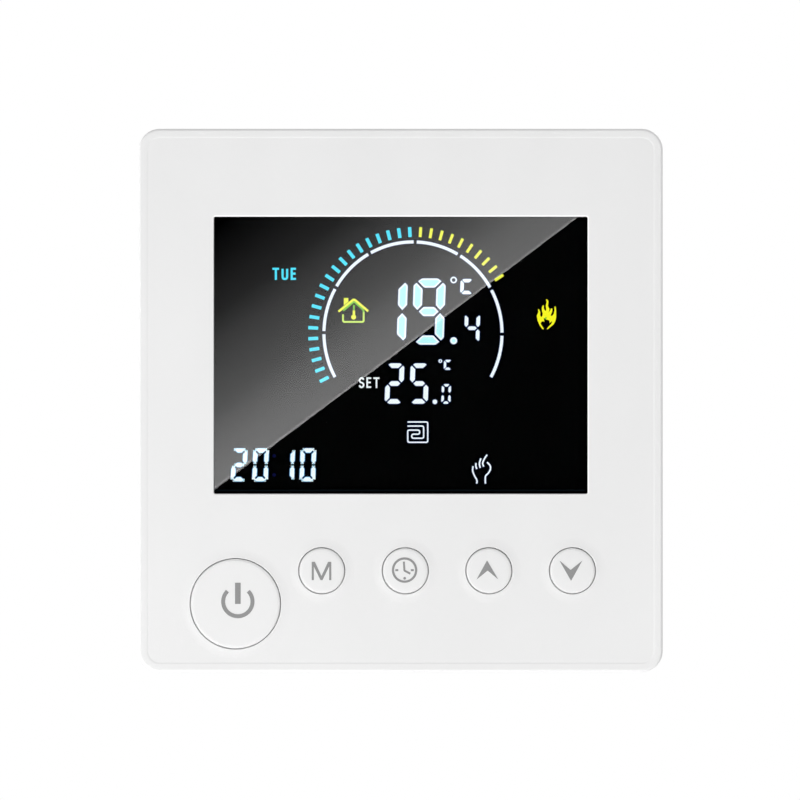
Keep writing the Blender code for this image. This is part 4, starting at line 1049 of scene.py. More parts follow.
@dataclass(frozen=True)
class Ferrite(Finish):
    """Sintered ferrite: dark, dull and faintly speckled."""

    colour: Colour = (0.045, 0.043, 0.045)
    roughness: float = 0.6

    def dress(self, graph: Graph) -> None:
        """Fills in the material.

        Args:
            graph: its node tree.
        """
        speck = graph.cells(3.0).ease(0.1, 0.5)
        graph.bump(speck + graph.noise(1.0, 4.0), 0.02)
        colour = graph.mix(speck, shade(self.colour, 1.9), self.colour)
        graph.finish(base_color=colour, roughness=self.roughness + speck * 0.15)


@dataclass(frozen=True)
class WoundTape(Finish):
    """Layers of tape round a winding, each with a fine raised edge."""

    colour: Colour = (0.82, 0.60, 0.06)
    roughness: float = 0.35
    lap: float = 2.6

    def dress(self, graph: Graph) -> None:
        """Fills in the material.

        Args:
            graph: its node tree.
        """
        x, y, _ = graph.axes()
        ply = ((y + x * 0.15) % self.lap) / self.lap
        edge = ply.ease(0.94, 1.0)
        wrinkle = graph.noise(0.9, 3.0, (1.0, 3.0, 1.0))
        graph.bump(ply * 0.7 + wrinkle * 0.5, 0.05)
        colour = graph.mix(edge, self.colour, shade(self.colour, 0.62))
        graph.finish(base_color=colour, roughness=wrinkle * 0.15 + self.roughness)


WHITE_HOUSING = MouldedPlastic("white_housing", (0.83, 0.83, 0.83), 0.46)
# a lighter copy of the housing's white, worn on the window's rounded edge as a painted highlight
WINDOW_EDGE_HIGHLIGHT = MouldedPlastic("window_edge", (0.96, 0.96, 0.96), 0.3, mottle=0.004)
WHITE_BUTTON = MouldedPlastic("button_plastic", (0.84, 0.84, 0.84), 0.38, grain=4.0, depth=0.003)
HOLDER = MouldedPlastic("holder_plastic", (0.74, 0.74, 0.73), 0.5, depth=0.01)
DARK_PLASTIC = MouldedPlastic("dark_plastic", (0.02, 0.02, 0.021), 0.4, grain=4.0, mottle=0.2)
RELAY_CASE = MouldedPlastic("relay_case", (0.02, 0.11, 0.46), 0.33, mottle=0.06)
CAPACITOR_CASE = MouldedPlastic("capacitor_case", (0.78, 0.55, 0.05), 0.36, mottle=0.05)
DISC_COATING = MouldedPlastic("disc_coating", (0.03, 0.14, 0.42), 0.42, grain=1.2, depth=0.05, mottle=0.08)
EPOXY = MouldedPlastic("sensor_epoxy", (0.015, 0.015, 0.016), 0.24, grain=1.0, depth=0.03, mottle=0.2)
TERMINAL_PLASTIC = MouldedPlastic("terminal_plastic", (0.035, 0.27, 0.09), 0.42, mottle=0.05)
CERAMIC = MouldedPlastic("ceramic", (0.42, 0.34, 0.25), 0.4, grain=5.0, mottle=0.05)
LENS = ClearLens("clear_lens")
GLASS = DisplayGlass("display_glass")
GUIDE = FilmWithDots("light_guide")
REFLECTOR = FilmWithDots("reflector_film", (0.84, 0.84, 0.84), 0.35)
RUBBER = StripedRubber("connector_rubber")
BOARD = CircuitBoard(
    "circuit_board", outlines=((-14.0, 8.0, 6.6, 6.6), (-14.0, -22.0, 7.3, 7.3), (10.5, 12.0, 5.8, 3.3))
)
POWER_BOARD = CircuitBoard("power_circuit_board", (0.01, 0.12, 0.04), 0.35, 2.2)
STEEL = Metal("bright_steel", (0.66, 0.66, 0.67))
TIN = Metal("tinned_leads", (0.74, 0.73, 0.70), 0.35)
BRASS = Metal("clamp_brass", (0.78, 0.60, 0.31), 0.3)
CELL_STEEL = Metal("cell_steel", (0.70, 0.70, 0.71), 0.2, (1.0, 1.0, 9.0))
FERRITE = Ferrite("ferrite")
TAPE = WoundTape("winding_tape")
LEGEND_INK = PrintedInk("legend_ink", (0.28, 0.28, 0.28), 0.5)
HALO = Glow("lit_halo", (0.004, 0.055, 0.26))
PALE = Glow("lit_white", (0.90, 1.0, 1.0))
CORE = Glow("lit_cyan_core", (0.50, 0.99, 1.0))
RING = Glow("lit_ring", (0.90, 0.98, 1.0))
SKY = Glow("lit_sky", (0.36, 0.80, 1.0))
CYAN = Glow("lit_cyan", (0.075, 0.78, 1.0))
FLAME = Glow("lit_flame", (0.95, 0.93, 0.02))
YELLOW = Glow("lit_yellow", (0.88, 0.92, 0.075))
GREEN = Glow("lit_green", (0.20, 0.58, 0.04))
LIME = Glow("lit_lime", (0.60, 0.84, 0.14))
FAINT_BLUE = Glow("lit_faint_blue", (0.002, 0.003, 0.03))
FAINT_LINE = Glow("screen_edge", (0.002, 0.0045, 0.006))


def fit(
    piece: Piece,
    body: str,
    finish: Union[Finish, Sequence[Finish]],
    stands_for: Sequence[str] = (),
) -> Piece:
    """Dresses a piece, lets it ride on its body, and hides the nodes that it stands for.

    Args:
        piece: the piece, whole and in place.
        body: the body it rides on.
        finish: its finish, or one for each of its material slots.
        stands_for: the nodes that it replaces.

    Returns:
        The piece.
    """
    slots = piece.data.materials
    for index, one in enumerate([finish] if isinstance(finish, Finish) else finish):
        if index < len(slots):
            slots[index] = one.material()
        else:
            slots.append(one.material())
    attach(piece, body)
    if stands_for:
        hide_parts(*stands_for)
    LOG.info("%s: %d faces, on %s", piece.name, len(piece.data.polygons), body)
    return piece


def body_of(node: str) -> str:
    """The body that a node belongs to."""
    return next(name for name, nodes in frame["record"]["behaviour"]["bodies"].items() if node in nodes)


def refined(node: str, finish: Finish, edge: float = 0.12 * MM, steps: int = 2) -> Piece:
    """A node's own shape, standing for it, with its edges rounded in so many steps."""
    piece = soften(copy_of(node, f"{node}_piece"), edge, steps)
    return fit(piece, body_of(node), finish, [node])


def paint(edit: Editing, index: int) -> None:
    """Gives the selected faces one of the piece's material slots."""
    edit.piece.active_material_index = index
    bpy.ops.object.material_slot_assign()


def banded(piece: Piece, bands: Sequence[float]) -> Piece:
    """Insets a piece's front faces once for each band, and gives each ring the next material slot.

    Args:
        piece: a piece whose front faces look along -y.
        bands: the width of each ring, from the outside in.

    Returns:
        The piece.
    """
    while len(piece.data.materials) <= len(bands):
        piece.data.materials.append(None)
    with Editing(piece, everything=False) as edit:
        edit.pick(Kind.FACE, lambda _, way: way.y < -SQUARE_ON)
        for index, width in enumerate(bands, 1):
            edit.inset(width)
            paint(edit, index)
    return piece


# The front cover


@dataclass
class FrontCover:
    """The white tray that shows, with its rim, window, button holes, air slots and inside fixings."""

    body: str = "front_assembly"
    corner: float = 3.6 * MM
    side_wall: float = 1.8 * MM
    face_wall: float = 2.0 * MM
    lens_lap: float = 1.6 * MM  # how far the lens reaches behind the window's edge
    lens_pocket: float = 1.8 * MM  # how far its pocket does
    window_lip: float = 0.5 * MM
    window_chamfer: float = 0.26 * MM
    button_gap: float = 0.15 * MM
    collar_width: float = 1.95 * MM
    collar_height: float = 0.13 * MM
    collar_sink: float = 0.004 * MM  # keeps the foot of the swelling just under the face
    collar_steps: int = 16
    collar_root: float = 0.8 * MM  # how deep the swelling is set into the face
    hole_edge: tuple[Point, ...] = ((0.12, 0.0), (0.03, 0.06), (0.0, 0.14))  # (out from the hole, back) in mm
    boss_inset: float = 3.2 * MM  # from the edges of the display board
    boss_radius: float = 2.2 * MM
    boss_bore: float = 1.08 * MM
    peg_radius: float = 1.0 * MM
    snap_reach: float = 0.35 * MM
    snap_depths: Point = (-4.2 * MM, -3.4 * MM)
    snap_half: float = 4.5 * MM
    snap_up: float = 26.0 * MM  # from the cover's middle to a snap's
    rib_half: float = 0.4 * MM
    rib_length: float = 1.0 * MM
    rib_height: float = 1.45 * MM
    rib_aside: float = 1.05 * MM
    rib_above: float = 0.75 * MM  # from the button's edge
    vent_count: int = 6
    vent_pitch: float = 3.0 * MM
    vent_inset: float = 18.0 * MM
    vent_half: float = 0.7 * MM
    vent_corner: float = 0.45 * MM
    vent_depths: Point = (-9.45 * MM, -2.45 * MM)
    vent_cut: float = 3.0 * MM
    pry_half: float = 4.0 * MM
    pry_depth: float = 1.4 * MM
    rim: tuple[Point, ...] = (  # (distance in from the side, distance behind the face), in millimetres
        (0.0, 0.42), (0.01, 0.33), (0.035, 0.24), (0.075, 0.16), (0.13, 0.085), (0.20, 0.03),
        (0.29, -0.015), (0.38, -0.04), (0.48, -0.05), (1.34, -0.05), (1.42, -0.042), (1.5, -0.025),
        (1.58, -0.008), (1.66, 0.0),
    )

    def __post_init__(self) -> None:
        """Reads where the cover and its window are."""
        self.low, self.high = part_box("front_cover")
        self.inner_face = self.low.y + self.face_wall
        lens_low, lens_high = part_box("window_lens")
        self.window_low = Vector((lens_low.x + self.lens_lap, self.low.y, lens_low.z + self.lens_lap))
        self.window_high = Vector((lens_high.x - self.lens_lap, self.inner_face, lens_high.z - self.lens_lap))

    def tray(self) -> Piece:
        """The tray with its stepped rim, and its back open.

        Returns:
            The tray.
        """
        piece = block("front_cover_piece", self.low, self.high)
        with Editing(piece, everything=False) as edit:
            edit.pick(Kind.EDGE, lambda _, way: abs(way.y) > SQUARE_ON)
            edit.bevel(self.corner, 14)
            edit.pick(Kind.FACE, lambda _, way: way.y < -SQUARE_ON)
            edit.slide((0, self.rim[0][1] * MM, 0))
            for (inset, drop), (next_inset, next_drop) in zip(self.rim, self.rim[1:]):
                edit.inset((next_inset - inset) * MM)
                edit.slide((0, (next_drop - drop) * MM, 0))
            edit.pick(Kind.FACE, lambda _, way: way.y > SQUARE_ON)
            edit.inset(self.side_wall)
            edit.push((0, self.inner_face - self.high.y, 0))
        return piece

    def bosses(self) -> list[Piece]:
        """The bosses at the display board's corners, two with a bore and two with a peg.

        Returns:
            The bosses.
        """
        low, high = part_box("display_board")
        root, top = self.low.y + self.face_wall / 2, low.y - 0.2 * MM
        made = []
        across = (low.x + self.boss_inset, high.x - self.boss_inset)
        upward = (low.z + self.boss_inset, high.z - self.boss_inset)
        for index, (x, z) in enumerate(product(across, upward)):
            radius, bore, peg = self.boss_radius, self.boss_bore, self.peg_radius
            boss = [(0.0, root), (radius + 0.4 * MM, root), (radius, self.inner_face + 0.6 * MM)]
            boss += [(radius, top - 0.1 * MM), (radius - 0.1 * MM, top)]
            if index in (1, 2):
                boss += [(peg, top), (peg, high.y - 0.2 * MM), (peg - 0.2 * MM, high.y), (0.0, high.y)]
            else:
                floor = self.inner_face + 0.3 * MM
                boss += [(bore, top), (bore, floor), (0.0, floor)]
            made.append(spun("boss", boss, (x, 0, z), 32))
        return made

    def snaps(self) -> list[Piece]:
        """The snaps inside the side walls, which hold the cover on the wall plate.

        Returns:
            The snaps.
        """
        made = []
        near, far = self.snap_depths
        for side, z in product((-1, 1), (-self.snap_up, self.snap_up)):
            wall = side * (self.high.x - self.side_wall)
            low_x, high_x = sorted((wall - side * self.snap_reach, wall + side * 0.6 * MM))
            snap = block("snap", (low_x, near, z - self.snap_half), (high_x, far, z + self.snap_half))
            made.append(soften(snap, 0.12 * MM, 2))
        return made

    def ribs(self) -> list[Piece]:
        """The pair of ribs above each button, between which its key runs.

        Returns:
            The ribs.
        """
        made = []
        root, top = self.low.y + self.face_wall / 2, self.inner_face + self.rib_height
        for key, side in product(KEYS, (-1, 1)):
            x, z = key.centre()
            low_z = z + key.radius + self.rib_above
            middle, half = x + side * self.rib_aside, self.rib_half
            high = (middle + half, top, low_z + self.rib_length)
            made.append(block("rib", (middle - half, root, low_z), high))
        return made

    def collars(self) -> Piece:
        """The low swelling of the face round each button.

        Returns:
            The swellings as one tool.
        """
        made = []
        for key in KEYS:
            hole = key.radius + self.button_gap
            buried = self.low.y + self.collar_root
            profile = [(0.0, buried), (hole + self.collar_width, buried)]
            for step in range(self.collar_steps + 1):
                share = step / self.collar_steps
                rise = self.collar_height * share**2 - self.collar_sink
                profile.append((hole + self.collar_width * (1 - share), self.low.y - rise))
            top = self.low.y - self.collar_height + self.collar_sink
            profile += [(hole - 0.3 * MM, top), (0.0, top)]
            x, z = key.centre()
            made.append(spun("collar", profile, (x, 0, z), 96))
        first = made.pop(0)
        for other in made:
            combine(first, other, Cut.ON)
        return first

    def button_holes(self) -> list[Piece]:
        """The button holes, each with its edge eased.

        Returns:
            A tool for each hole.
        """
        made = []
        front, end = self.low.y - self.collar_height, self.inner_face + RUN_PAST
        for key in KEYS:
            hole = key.radius + self.button_gap
            edge = [(hole + out * MM, front + back * MM) for out, back in self.hole_edge]
            start = front - RUN_PAST
            profile = [(0.0, start), (edge[0][0], start), *edge, (hole, end), (0.0, end)]
            x, z = key.centre()
            made.append(spun("hole", profile, (x, 0, z), 96))
        return made

    def vents(self) -> list[Piece]:
        """The air slots through the bottom and the top.

        Returns:
            A tool for each slot.
        """
        made = []
        near, far = self.vent_depths
        for index, z in product(range(self.vent_count), (self.low.z, self.high.z)):
            x = self.high.x - self.vent_inset - index * self.vent_pitch
            low = (x - self.vent_half, near, z - self.vent_cut)
            slot = block("slot", low, (x + self.vent_half, far, z + self.vent_cut))
            with Editing(slot, everything=False) as edit:
                edit.pick(Kind.EDGE, lambda _, way: abs(way.z) > SQUARE_ON)
                edit.bevel(self.vent_corner, 4)
            made.append(slot)
        return made

    def pry_slot(self) -> Piece:
        """The slot for a screwdriver in the lower edge.

        Returns:
            The tool for it.
        """
        low = (-self.pry_half, self.high.y - self.pry_depth, self.low.z - RUN_PAST)
        high = (self.pry_half, self.high.y + RUN_PAST, self.low.z + self.side_wall + RUN_PAST)
        return block("slot", low, high)

    def window(self, piece: Piece) -> None:
        """Cuts the window and the pocket its lens lies in, rounds the window's edge, and gives the rounding a
        lighter white as a painted highlight.

        Args:
            piece: the cover.
        """
        low, high, past = self.window_low, self.window_high, Vector((0, RUN_PAST, 0))
        combine(piece, rounded_block("throat", low - past, high + past, 0.3 * MM, 4), Cut.AWAY)
        wide = Vector((self.lens_pocket, 0, self.lens_pocket))
        lip = Vector((0, self.window_lip, 0))
        combine(piece, rounded_block("pocket", low - wide + lip, high + wide + past, 0.4 * MM, 4), Cut.AWAY)
        tight = 0.02 * MM

        def within(at: Vector, margin: float) -> bool:
            """Whether a place lies in the window or no further than a margin from it."""
            return low.x - margin < at.x < high.x + margin and low.z - margin < at.z < high.z + margin

        with Editing(piece, everything=False) as edit:
            edit.pick(Kind.EDGE, lambda at, _: abs(at.y - self.low.y) < tight and within(at, tight))
            edit.bevel(self.window_chamfer, 4)
            edit.pick(
                Kind.FACE,
                lambda at, way: self.low.y + tight / 4 < at.y < self.low.y + self.window_chamfer
                and within(at, self.window_chamfer)
                and way.y < -0.05,
            )
            # the window's rounded edge takes the lighter white of the second slot: a painted highlight
            paint(edit, 1)

    def build(self) -> None:
        """Builds and dresses the cover."""
        piece = self.tray()
        piece.data.materials.append(None)
        piece.data.materials.append(None)
        combine(piece, joined([*self.bosses(), *self.snaps(), *self.ribs()], "fixings"), Cut.ON)
        combine(piece, self.collars(), Cut.ON)
        self.window(piece)
        combine(piece, joined([*self.button_holes(), *self.vents(), self.pry_slot()], "openings"), Cut.AWAY)
        smooth(piece, 28.0)
        # the second finish is the painted highlight on the window's rounded edge
        fit(piece, self.body, (WHITE_HOUSING, WINDOW_EDGE_HIGHLIGHT), ["front_cover"])


# The push buttons


class Legend(Enum):
    """What is printed on a button."""

    POWER = "power"
    MODE = "mode"
    CLOCK = "clock"
    UP = "up"
    DOWN = "down"


@dataclass
class PushButton:
    """One push button: its cap with lip and key, its printed legend, and its plunger."""

    legend: Legend
    radius: float
    lip: float = 0.6 * MM
    skirt: float = 1.0 * MM
    top_wall: float = 1.5 * MM
    post: float = 1.4 * MM
    ink: float = 0.03 * MM
    edge: float = 0.42 * MM
    lip_height: float = 0.75 * MM
    play: float = 0.06 * MM
    key_half: float = 0.5 * MM
    lean: Point = (-0.035 * MM, -0.06 * MM)  # how far the cap's top sits off its lip's centre

    @property
    def name(self) -> str:
        """The start of its nodes' names."""
        return self.legend.value

    def centre(self) -> Point:
        """Its centre across the face."""
        return middle_of(f"{self.name}_plunger")

    def cap(self) -> Piece:
        """The cap, hollow behind, with a post for its plunger.

        Returns:
            The cap.
        """
        low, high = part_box(f"{self.name}_button")
        top, back = low.y + self.ink, high.y
        lip_front, inside = back - self.lip_height, low.y + self.top_wall
        edge, side = self.edge, self.radius + self.play
        profile = [(0.0, top), (side * 0.5, top + 0.004 * MM), (side - edge * 1.6, top + 0.02 * MM)]
        for step in range(1, 9):
            turn = math.radians(90 * step / 8)
            out, down = 1 - math.sin(turn), 1 - math.cos(turn)
            profile.append((side - edge * out, top + 0.03 * MM + edge * down))
        reach, wall = self.radius + self.lip, self.radius - self.skirt
        profile += [(side, lip_front - 0.05 * MM), (self.radius, lip_front), (reach, lip_front)]
        profile += [(reach, back), (wall, back), (wall, inside), (self.post, inside)]
        profile += [(self.post, back), (0.0, back)]
        x, z = self.centre()
        piece = spun(f"{self.name}_cap", profile, (x, 0, z), 96)
        with Editing(piece, everything=False) as edit:
            edit.pick(Kind.POINT, lambda at, _: at.y < lip_front - WELD)
            edit.slide((self.lean[0], 0, self.lean[1]))
        half = self.key_half
        key = block("key", (x - half, lip_front, z + reach - 0.3 * MM), (x + half, back, high.z))
        return smooth(combine(piece, key, Cut.ON), 30.0)

    def marks(self, front: float, back: float) -> list[Piece]:
        """The legend's strokes, in millimetres from the button's centre.

        Args:
            front: the depth of the ink's front.
            back: the depth of its back.

        Returns:
            The strokes.
        """
        x, z = self.centre()

        def to_face(points: Iterable[Point]) -> list[Point]:
            """Points from the centre, in millimetres, as places across the face."""
            return [(x + u * MM, z + v * MM) for u, v in points]

        def line(points: Sequence[Point], width: float, closed: bool = False) -> Piece:
            """A stroke of the legend."""
            return stroke("ink", to_face(points), width * MM, front, back, closed)

        def shape(points: Sequence[Point]) -> Piece:
            """A filled shape of the legend."""
            return slab("ink", to_face(points), front, back)

        if self.legend is Legend.POWER:
            ring = line(arc((0.40, 0.37), 2.52, -225, 45, 54), 0.68)
            return [ring, shape([(-0.08, -0.04), (0.88, -0.04), (0.88, 3.60), (-0.08, 3.60)])]
        if self.legend is Legend.MODE:
            left, right, low, high = -1.74, 1.61, -1.62, 1.51
            middle, stem, shoulder, drop = (left + right) / 2, 0.36, 0.54, 0.78
            return [shape([
                (left, low), (left, high), (left + shoulder, high), (middle, low + 0.72),
                (right - shoulder, high), (right, high), (right, low), (right - stem, low),
                (right - stem, high - drop), (middle + 0.17, low), (middle - 0.17, low),
                (left + stem, high - drop), (left + stem, low),
            ])]
        if self.legend is Legend.CLOCK:
            rim = line(arc((-0.15, 0.10), 1.99, 0, 360 - 7.5, 47), 0.38, closed=True)
            hands = line(rounded([(-0.27, 1.56), (-0.17, 0.01), (0.84, -0.52)], 0.08), 0.34)
            dashes = [line([(-1.73, 0.09), (-1.23, 0.09)], 0.34), line([(0.93, 0.09), (1.43, 0.09)], 0.34)]
            dot = shape(arc((-0.13, -1.30), 0.23, 0, 337.5, 15))
            return [rim, hands, *dashes, dot]
        if self.legend is Legend.UP:
            return [shape(rounded([(-2.17, -1.56), (-0.34, 1.78), (1.61, -1.52), (-0.23, 0.03)], 0.12, True))]
        return [shape(rounded([(-2.25, 1.74), (-0.33, 0.12), (1.68, 1.74), (-0.26, -1.75)], 0.12, True))]

    def build(self) -> None:
        """Builds and dresses the cap, the legend and the plunger."""
        body = f"{self.name}_key"
        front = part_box(f"{self.name}_button")[0].y
        fit(self.cap(), body, WHITE_BUTTON, [f"{self.name}_button"])
        marks = joined(self.marks(front, front + 2.5 * self.ink), f"{self.name}_legend")
        fit(marks, body, LEGEND_INK)
        refined(f"{self.name}_plunger", DARK_PLASTIC, 0.08 * MM)


SMALL_BUTTONS = (Legend.MODE, Legend.CLOCK, Legend.UP, Legend.DOWN)
KEYS = (PushButton(Legend.POWER, 7.68 * MM), *(PushButton(legend, 3.88 * MM) for legend in SMALL_BUTTONS))


# The display


SEGMENTS = {"0": "abcdef", "1": "bc", "2": "abdeg", "4": "bcfg", "5": "acdfg", "9": "abcdfg", "C": "ald"}


@dataclass
class Digit:
    """One seven-segment digit. Where its cell starts and its sizes are in millimetres."""

    value: str
    left: float
    low: float
    width: float
    height: float
    bar: float
    gap: float = 0.11
    halo: float = 0.07
    slant: float = 0.036

    def outline(self, segment: str) -> list[Point]:
        """A segment's outline.

        Args:
            segment: its letter, a to g, or l for one long bar on the left.

        Returns:
            Its corners, in millimetres from the cell's lower left corner.
        """
        w, h, t = (size + 2 * self.halo for size in (self.width, self.height, self.bar))
        g, tip, half = self.gap, 0.32 * t, h / 2
        if segment in "ad":
            points = [(t + g, t), (tip + g, tip), (0.75 * t + g, 0.0)]
            points += [(w - u, v) for u, v in reversed(points)]
            return [(u, h - v) for u, v in points] if segment == "a" else points
        if segment == "g":
            return [
                (t / 2 + g, half), (t + g, half + t / 2), (w - t - g, half + t / 2),
                (w - t / 2 - g, half), (w - t - g, half - t / 2), (t + g, half - t / 2),
            ]
        end = [(0.0, 2 * tip + g), (tip, tip + g), (t, t + g)]
        if segment == "l":
            return end + [(u, h - v) for u, v in reversed(end)]
        points = [(u, h - v) for u, v in end]
        points += [(t, half + 0.55 * t + g), (t / 2, half + g), (0.0, half + 0.55 * t + g)]
        if segment in "bc":
            points = [(w - u, v) for u, v in points]
        if segment in "ec":
            points = [(u, h - v) for u, v in points]
        return points

    def build(self, front: float, back: float) -> list[Piece]:
        """Makes the digit's segments.

        Args:
            front: the depth of their front.
            back: the depth of their back.

        Returns:
            The segments.
        """
        made = []
        left, low = self.left - self.halo, self.low - self.halo
        for segment in SEGMENTS[self.value]:
            points = rounded(self.outline(segment), 0.11 * self.bar, True, 3)
            places = [(left + u + v * self.slant, low + v) for u, v in points]
            made.append(slab("segment", in_mm(places), front, back))
        return made


@dataclass
class Display:
    """The lens, the display glass, all that is lit on it, and the frame and light behind it.

    Places of what is lit are in millimetres, across the face.
    """

    body: str = "front_assembly"
    halo: float = 0.07
    gauge_centre: Point = (2.10, 11.57)
    gauge_radius: float = 15.46
    gauge_width: float = 0.62
    gauge_gap: float = 1.7
    gauge_joints: tuple[float, ...] = (-29.8, -0.7, 29.1, 58.9, 88.6, 119.2, 150.1, 179.7, 209.8)
    gauge_stretch: Point = (0.991, 1.015)
    tick_centre: Point = (2.35, 11.55)
    tick_reach: Point = (16.57, 18.29)
    yellow_ticks: tuple[float, float, int, float] = (33.3, 5.92, 10, 0.50)  # first angle, step, count, width
    blue_ticks: tuple[float, float, int, float] = (92.6, 6.026, 20, 0.59)

    def __post_init__(self) -> None:
        """Reads where the display glass is, and sets how deep what is lit stands on it."""
        self.low, self.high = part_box("lcd_panel")
        self.back = self.low.y
        self.front = self.back - 0.05 * MM

    def line(self, points: Sequence[Point], width: float, closed: bool = False) -> Piece:
        """A lit line through points in millimetres."""
        return stroke("line", in_mm(points), width * MM, self.front, self.back, closed)

    def shape(self, points: Sequence[Point]) -> Piece:
        """A lit shape with its corners in millimetres."""
        return slab("shape", in_mm(points), self.front, self.back)

    def dot(self, centre: Point, diameter: float) -> Piece:
        """A lit dot."""
        return self.shape(circle(centre, diameter / 2))

    def show(
        self, name: str, made: Sequence[Piece], finishes: Sequence[Finish], bands: Sequence[float] = ()
    ) -> None:
        """Joins what is lit, with a finish for each band from its edge inwards, and the widths in mm."""
        piece = banded(joined(made, name), [width * MM for width in bands])
        fit(piece, self.body, finishes)

    def degree_sign(self, centre: Point, diameter: float, bar: float) -> Piece:
        """A small ring."""
        return self.line(circle(centre, (diameter - bar) / 2), bar, closed=True)

    def number(
        self, text: str, lefts: Sequence[float], low: float, size: Place, gap: float = 0.11
    ) -> list[Piece]:
        """Digits in a row, by the left of each, their foot, and each one's width, height and bar."""
        digits = [Digit(value, left, low, *size, gap=gap) for value, left in zip(text, lefts)]
        return [piece for digit in digits for piece in digit.build(self.front, self.back)]

    def temperatures(self) -> None:
        """The room's temperature, large, and the set one below it."""
        made = self.number("1", (-4.50,), 9.58, (5.34, 11.4, 1.58), 0.16)
        made += self.number("9", (1.84,), 9.58, (5.52, 11.4, 1.58), 0.16)
        made.append(self.dot((9.1, 10.27), 1.34))
        self.show("room_temperature", made, (HALO, PALE, CORE), (self.halo, 0.3))
        made = self.number("4", (10.86,), 9.86, (2.63, 5.12, 0.62))
        made += self.number("C", (10.2,), 18.27, (2.2, 2.62, 0.6), 0.0)
        made.append(self.degree_sign((9.1, 20.71), 1.28, 0.38))
        made += self.number("2", (-2.78,), -0.58, (3.15, 6.95, 0.8))
        made += self.number("5", (1.46,), -0.58, (3.17, 6.95, 0.8))
        made += self.number("0", (6.96,), -0.58, (1.58, 3.38, 0.42))
        made += self.number("C", (7.38,), 5.25, (1.38, 1.72, 0.4), 0.0)
        made.append(self.degree_sign((6.81, 6.76), 0.76, 0.3))
        made.append(self.dot((5.87, -0.25), 0.92))
        self.show("set_temperature", made, (HALO, PALE), (self.halo,))

    def time(self) -> None:
        """The time of day and its unlit colon."""
        made = self.number("2010", (-29.28, -25.6, -21.1, -17.46), -13.97, (2.74, 5.74, 0.8))
        self.show("time_of_day", made, (HALO, SKY, PALE), (self.halo, 0.08))
        colon = [self.dot((-21.78, -9.55), 0.6), self.dot((-21.78, -12.83), 0.62)]
        self.show("time_colon", colon, (FAINT_BLUE,))

    def words(self) -> None:
        """The day and the word before the set temperature."""
        self.show("day_name", self.lettering("TUE", (-22.04, 20.72), (1.24, 2.1), 1.52, 0.37), (CYAN,))
        self.show("set_word", self.lettering("SET", (-7.28, 2.14), (1.1, 1.82), 1.31, 0.28), (RING,))

    def lettering(self, word: str, start: Point, size: Point, pitch: float, bar: float) -> list[Piece]:
        """Plain letters of single strokes.

        Args:
            word: the letters.
            start: the lower left corner of the first.
            size: the width and height of each.
            pitch: from one to the next.
            bar: the width of their strokes.

        Returns:
            The strokes.
        """
        strokes = {
            "T": ([(-0.25, 1.0), (1.05, 1.0)], [(0.42, 1.0), (0.42, -0.1)]),
            "U": (rounded([(0.0, 1.0), (0.0, 0.0), (0.9, 0.0), (0.9, 1.0)], 0.3),),
            "E": ([(0.9, 0.0), (0.06, 0.0), (0.06, 1.0), (0.9, 1.0)], [(0.06, 0.52), (0.82, 0.52)]),
            "S": (flowing([
                (0.92, 0.82), (0.72, 0.98), (0.35, 1.0), (0.07, 0.78), (0.22, 0.57), (0.72, 0.44),
                (0.92, 0.22), (0.65, 0.0), (0.26, 0.01), (0.02, 0.2),
            ]),),
        }
        made = []
        width, height = size[0] - bar, size[1] - bar
        for index, letter in enumerate(word):
            left, low = start[0] + index * pitch + bar / 2, start[1] + bar / 2
            for points in strokes[letter]:
                made.append(self.line([(left + u * width, low + v * height) for u, v in points], bar))
        return made

    def gauge(self) -> None:
        """The ring of arcs, and the ticks round it, blue below the set temperature and yellow above."""
        arcs = []
        for start, end in zip(self.gauge_joints, self.gauge_joints[1:]):
            ends = (start + self.gauge_gap / 2, end - self.gauge_gap / 2)
            arcs.append(self.line(arc(self.gauge_centre, self.gauge_radius, *ends, 14), self.gauge_width))
        self.show("gauge_ring", [self.stretched(arcs)], (HALO, RING), (0.05,))
        x, z = self.tick_centre
        near, far = self.tick_reach
        for name, (first, step, count, width), finish in (
            ("gauge_ticks_yellow", self.yellow_ticks, YELLOW),
            ("gauge_ticks_blue", self.blue_ticks, CYAN),
        ):
            half = width / 2
            tick = self.shape(rounded(
                [(x + near, z - half), (x + far, z - half), (x + far, z + half), (x + near, z + half)],
                0.08, True, 2,
            ))
            centre = Vector((x * MM, 0, z * MM))
            moves = [turned_about(centre, first + step * index) for index in range(count)]
            self.show(name, repeated(tick, moves), (finish,))

    def stretched(self, made: Sequence[Piece]) -> Piece:
        """Joins parts of the gauge and makes them a little taller than wide.

        Args:
            made: the parts.

        Returns:
            The joined piece.
        """
        piece = joined(made, "gauge")
        x, z = self.gauge_centre
        across, up = self.gauge_stretch
        with Editing(piece):
            bpy.ops.transform.resize(value=(across, 1.0, up), center_override=(x * MM, self.back, z * MM))
        return piece

    def heating_coil(self) -> None:
        """The floor-heating sign: one line folded into a square."""
        left, right, low, high, step = 1.2, 4.64, -7.22, -3.72, 0.70
        start = left - 0.08
        path = [
            (start, high), (right, high), (right, low), (left, low), (left, high - 2 * step),
            (right - 2 * step, high - 2 * step), (right - 2 * step, high - 3 * step),
            (left + step, high - 3 * step), (left + step, low + step), (right - step, low + step),
            (right - step, high - step), (start, high - step),
        ]
        self.show("heating_sign", [self.line(rounded(path, 0.3), 0.31)], (HALO, RING), (0.045,))

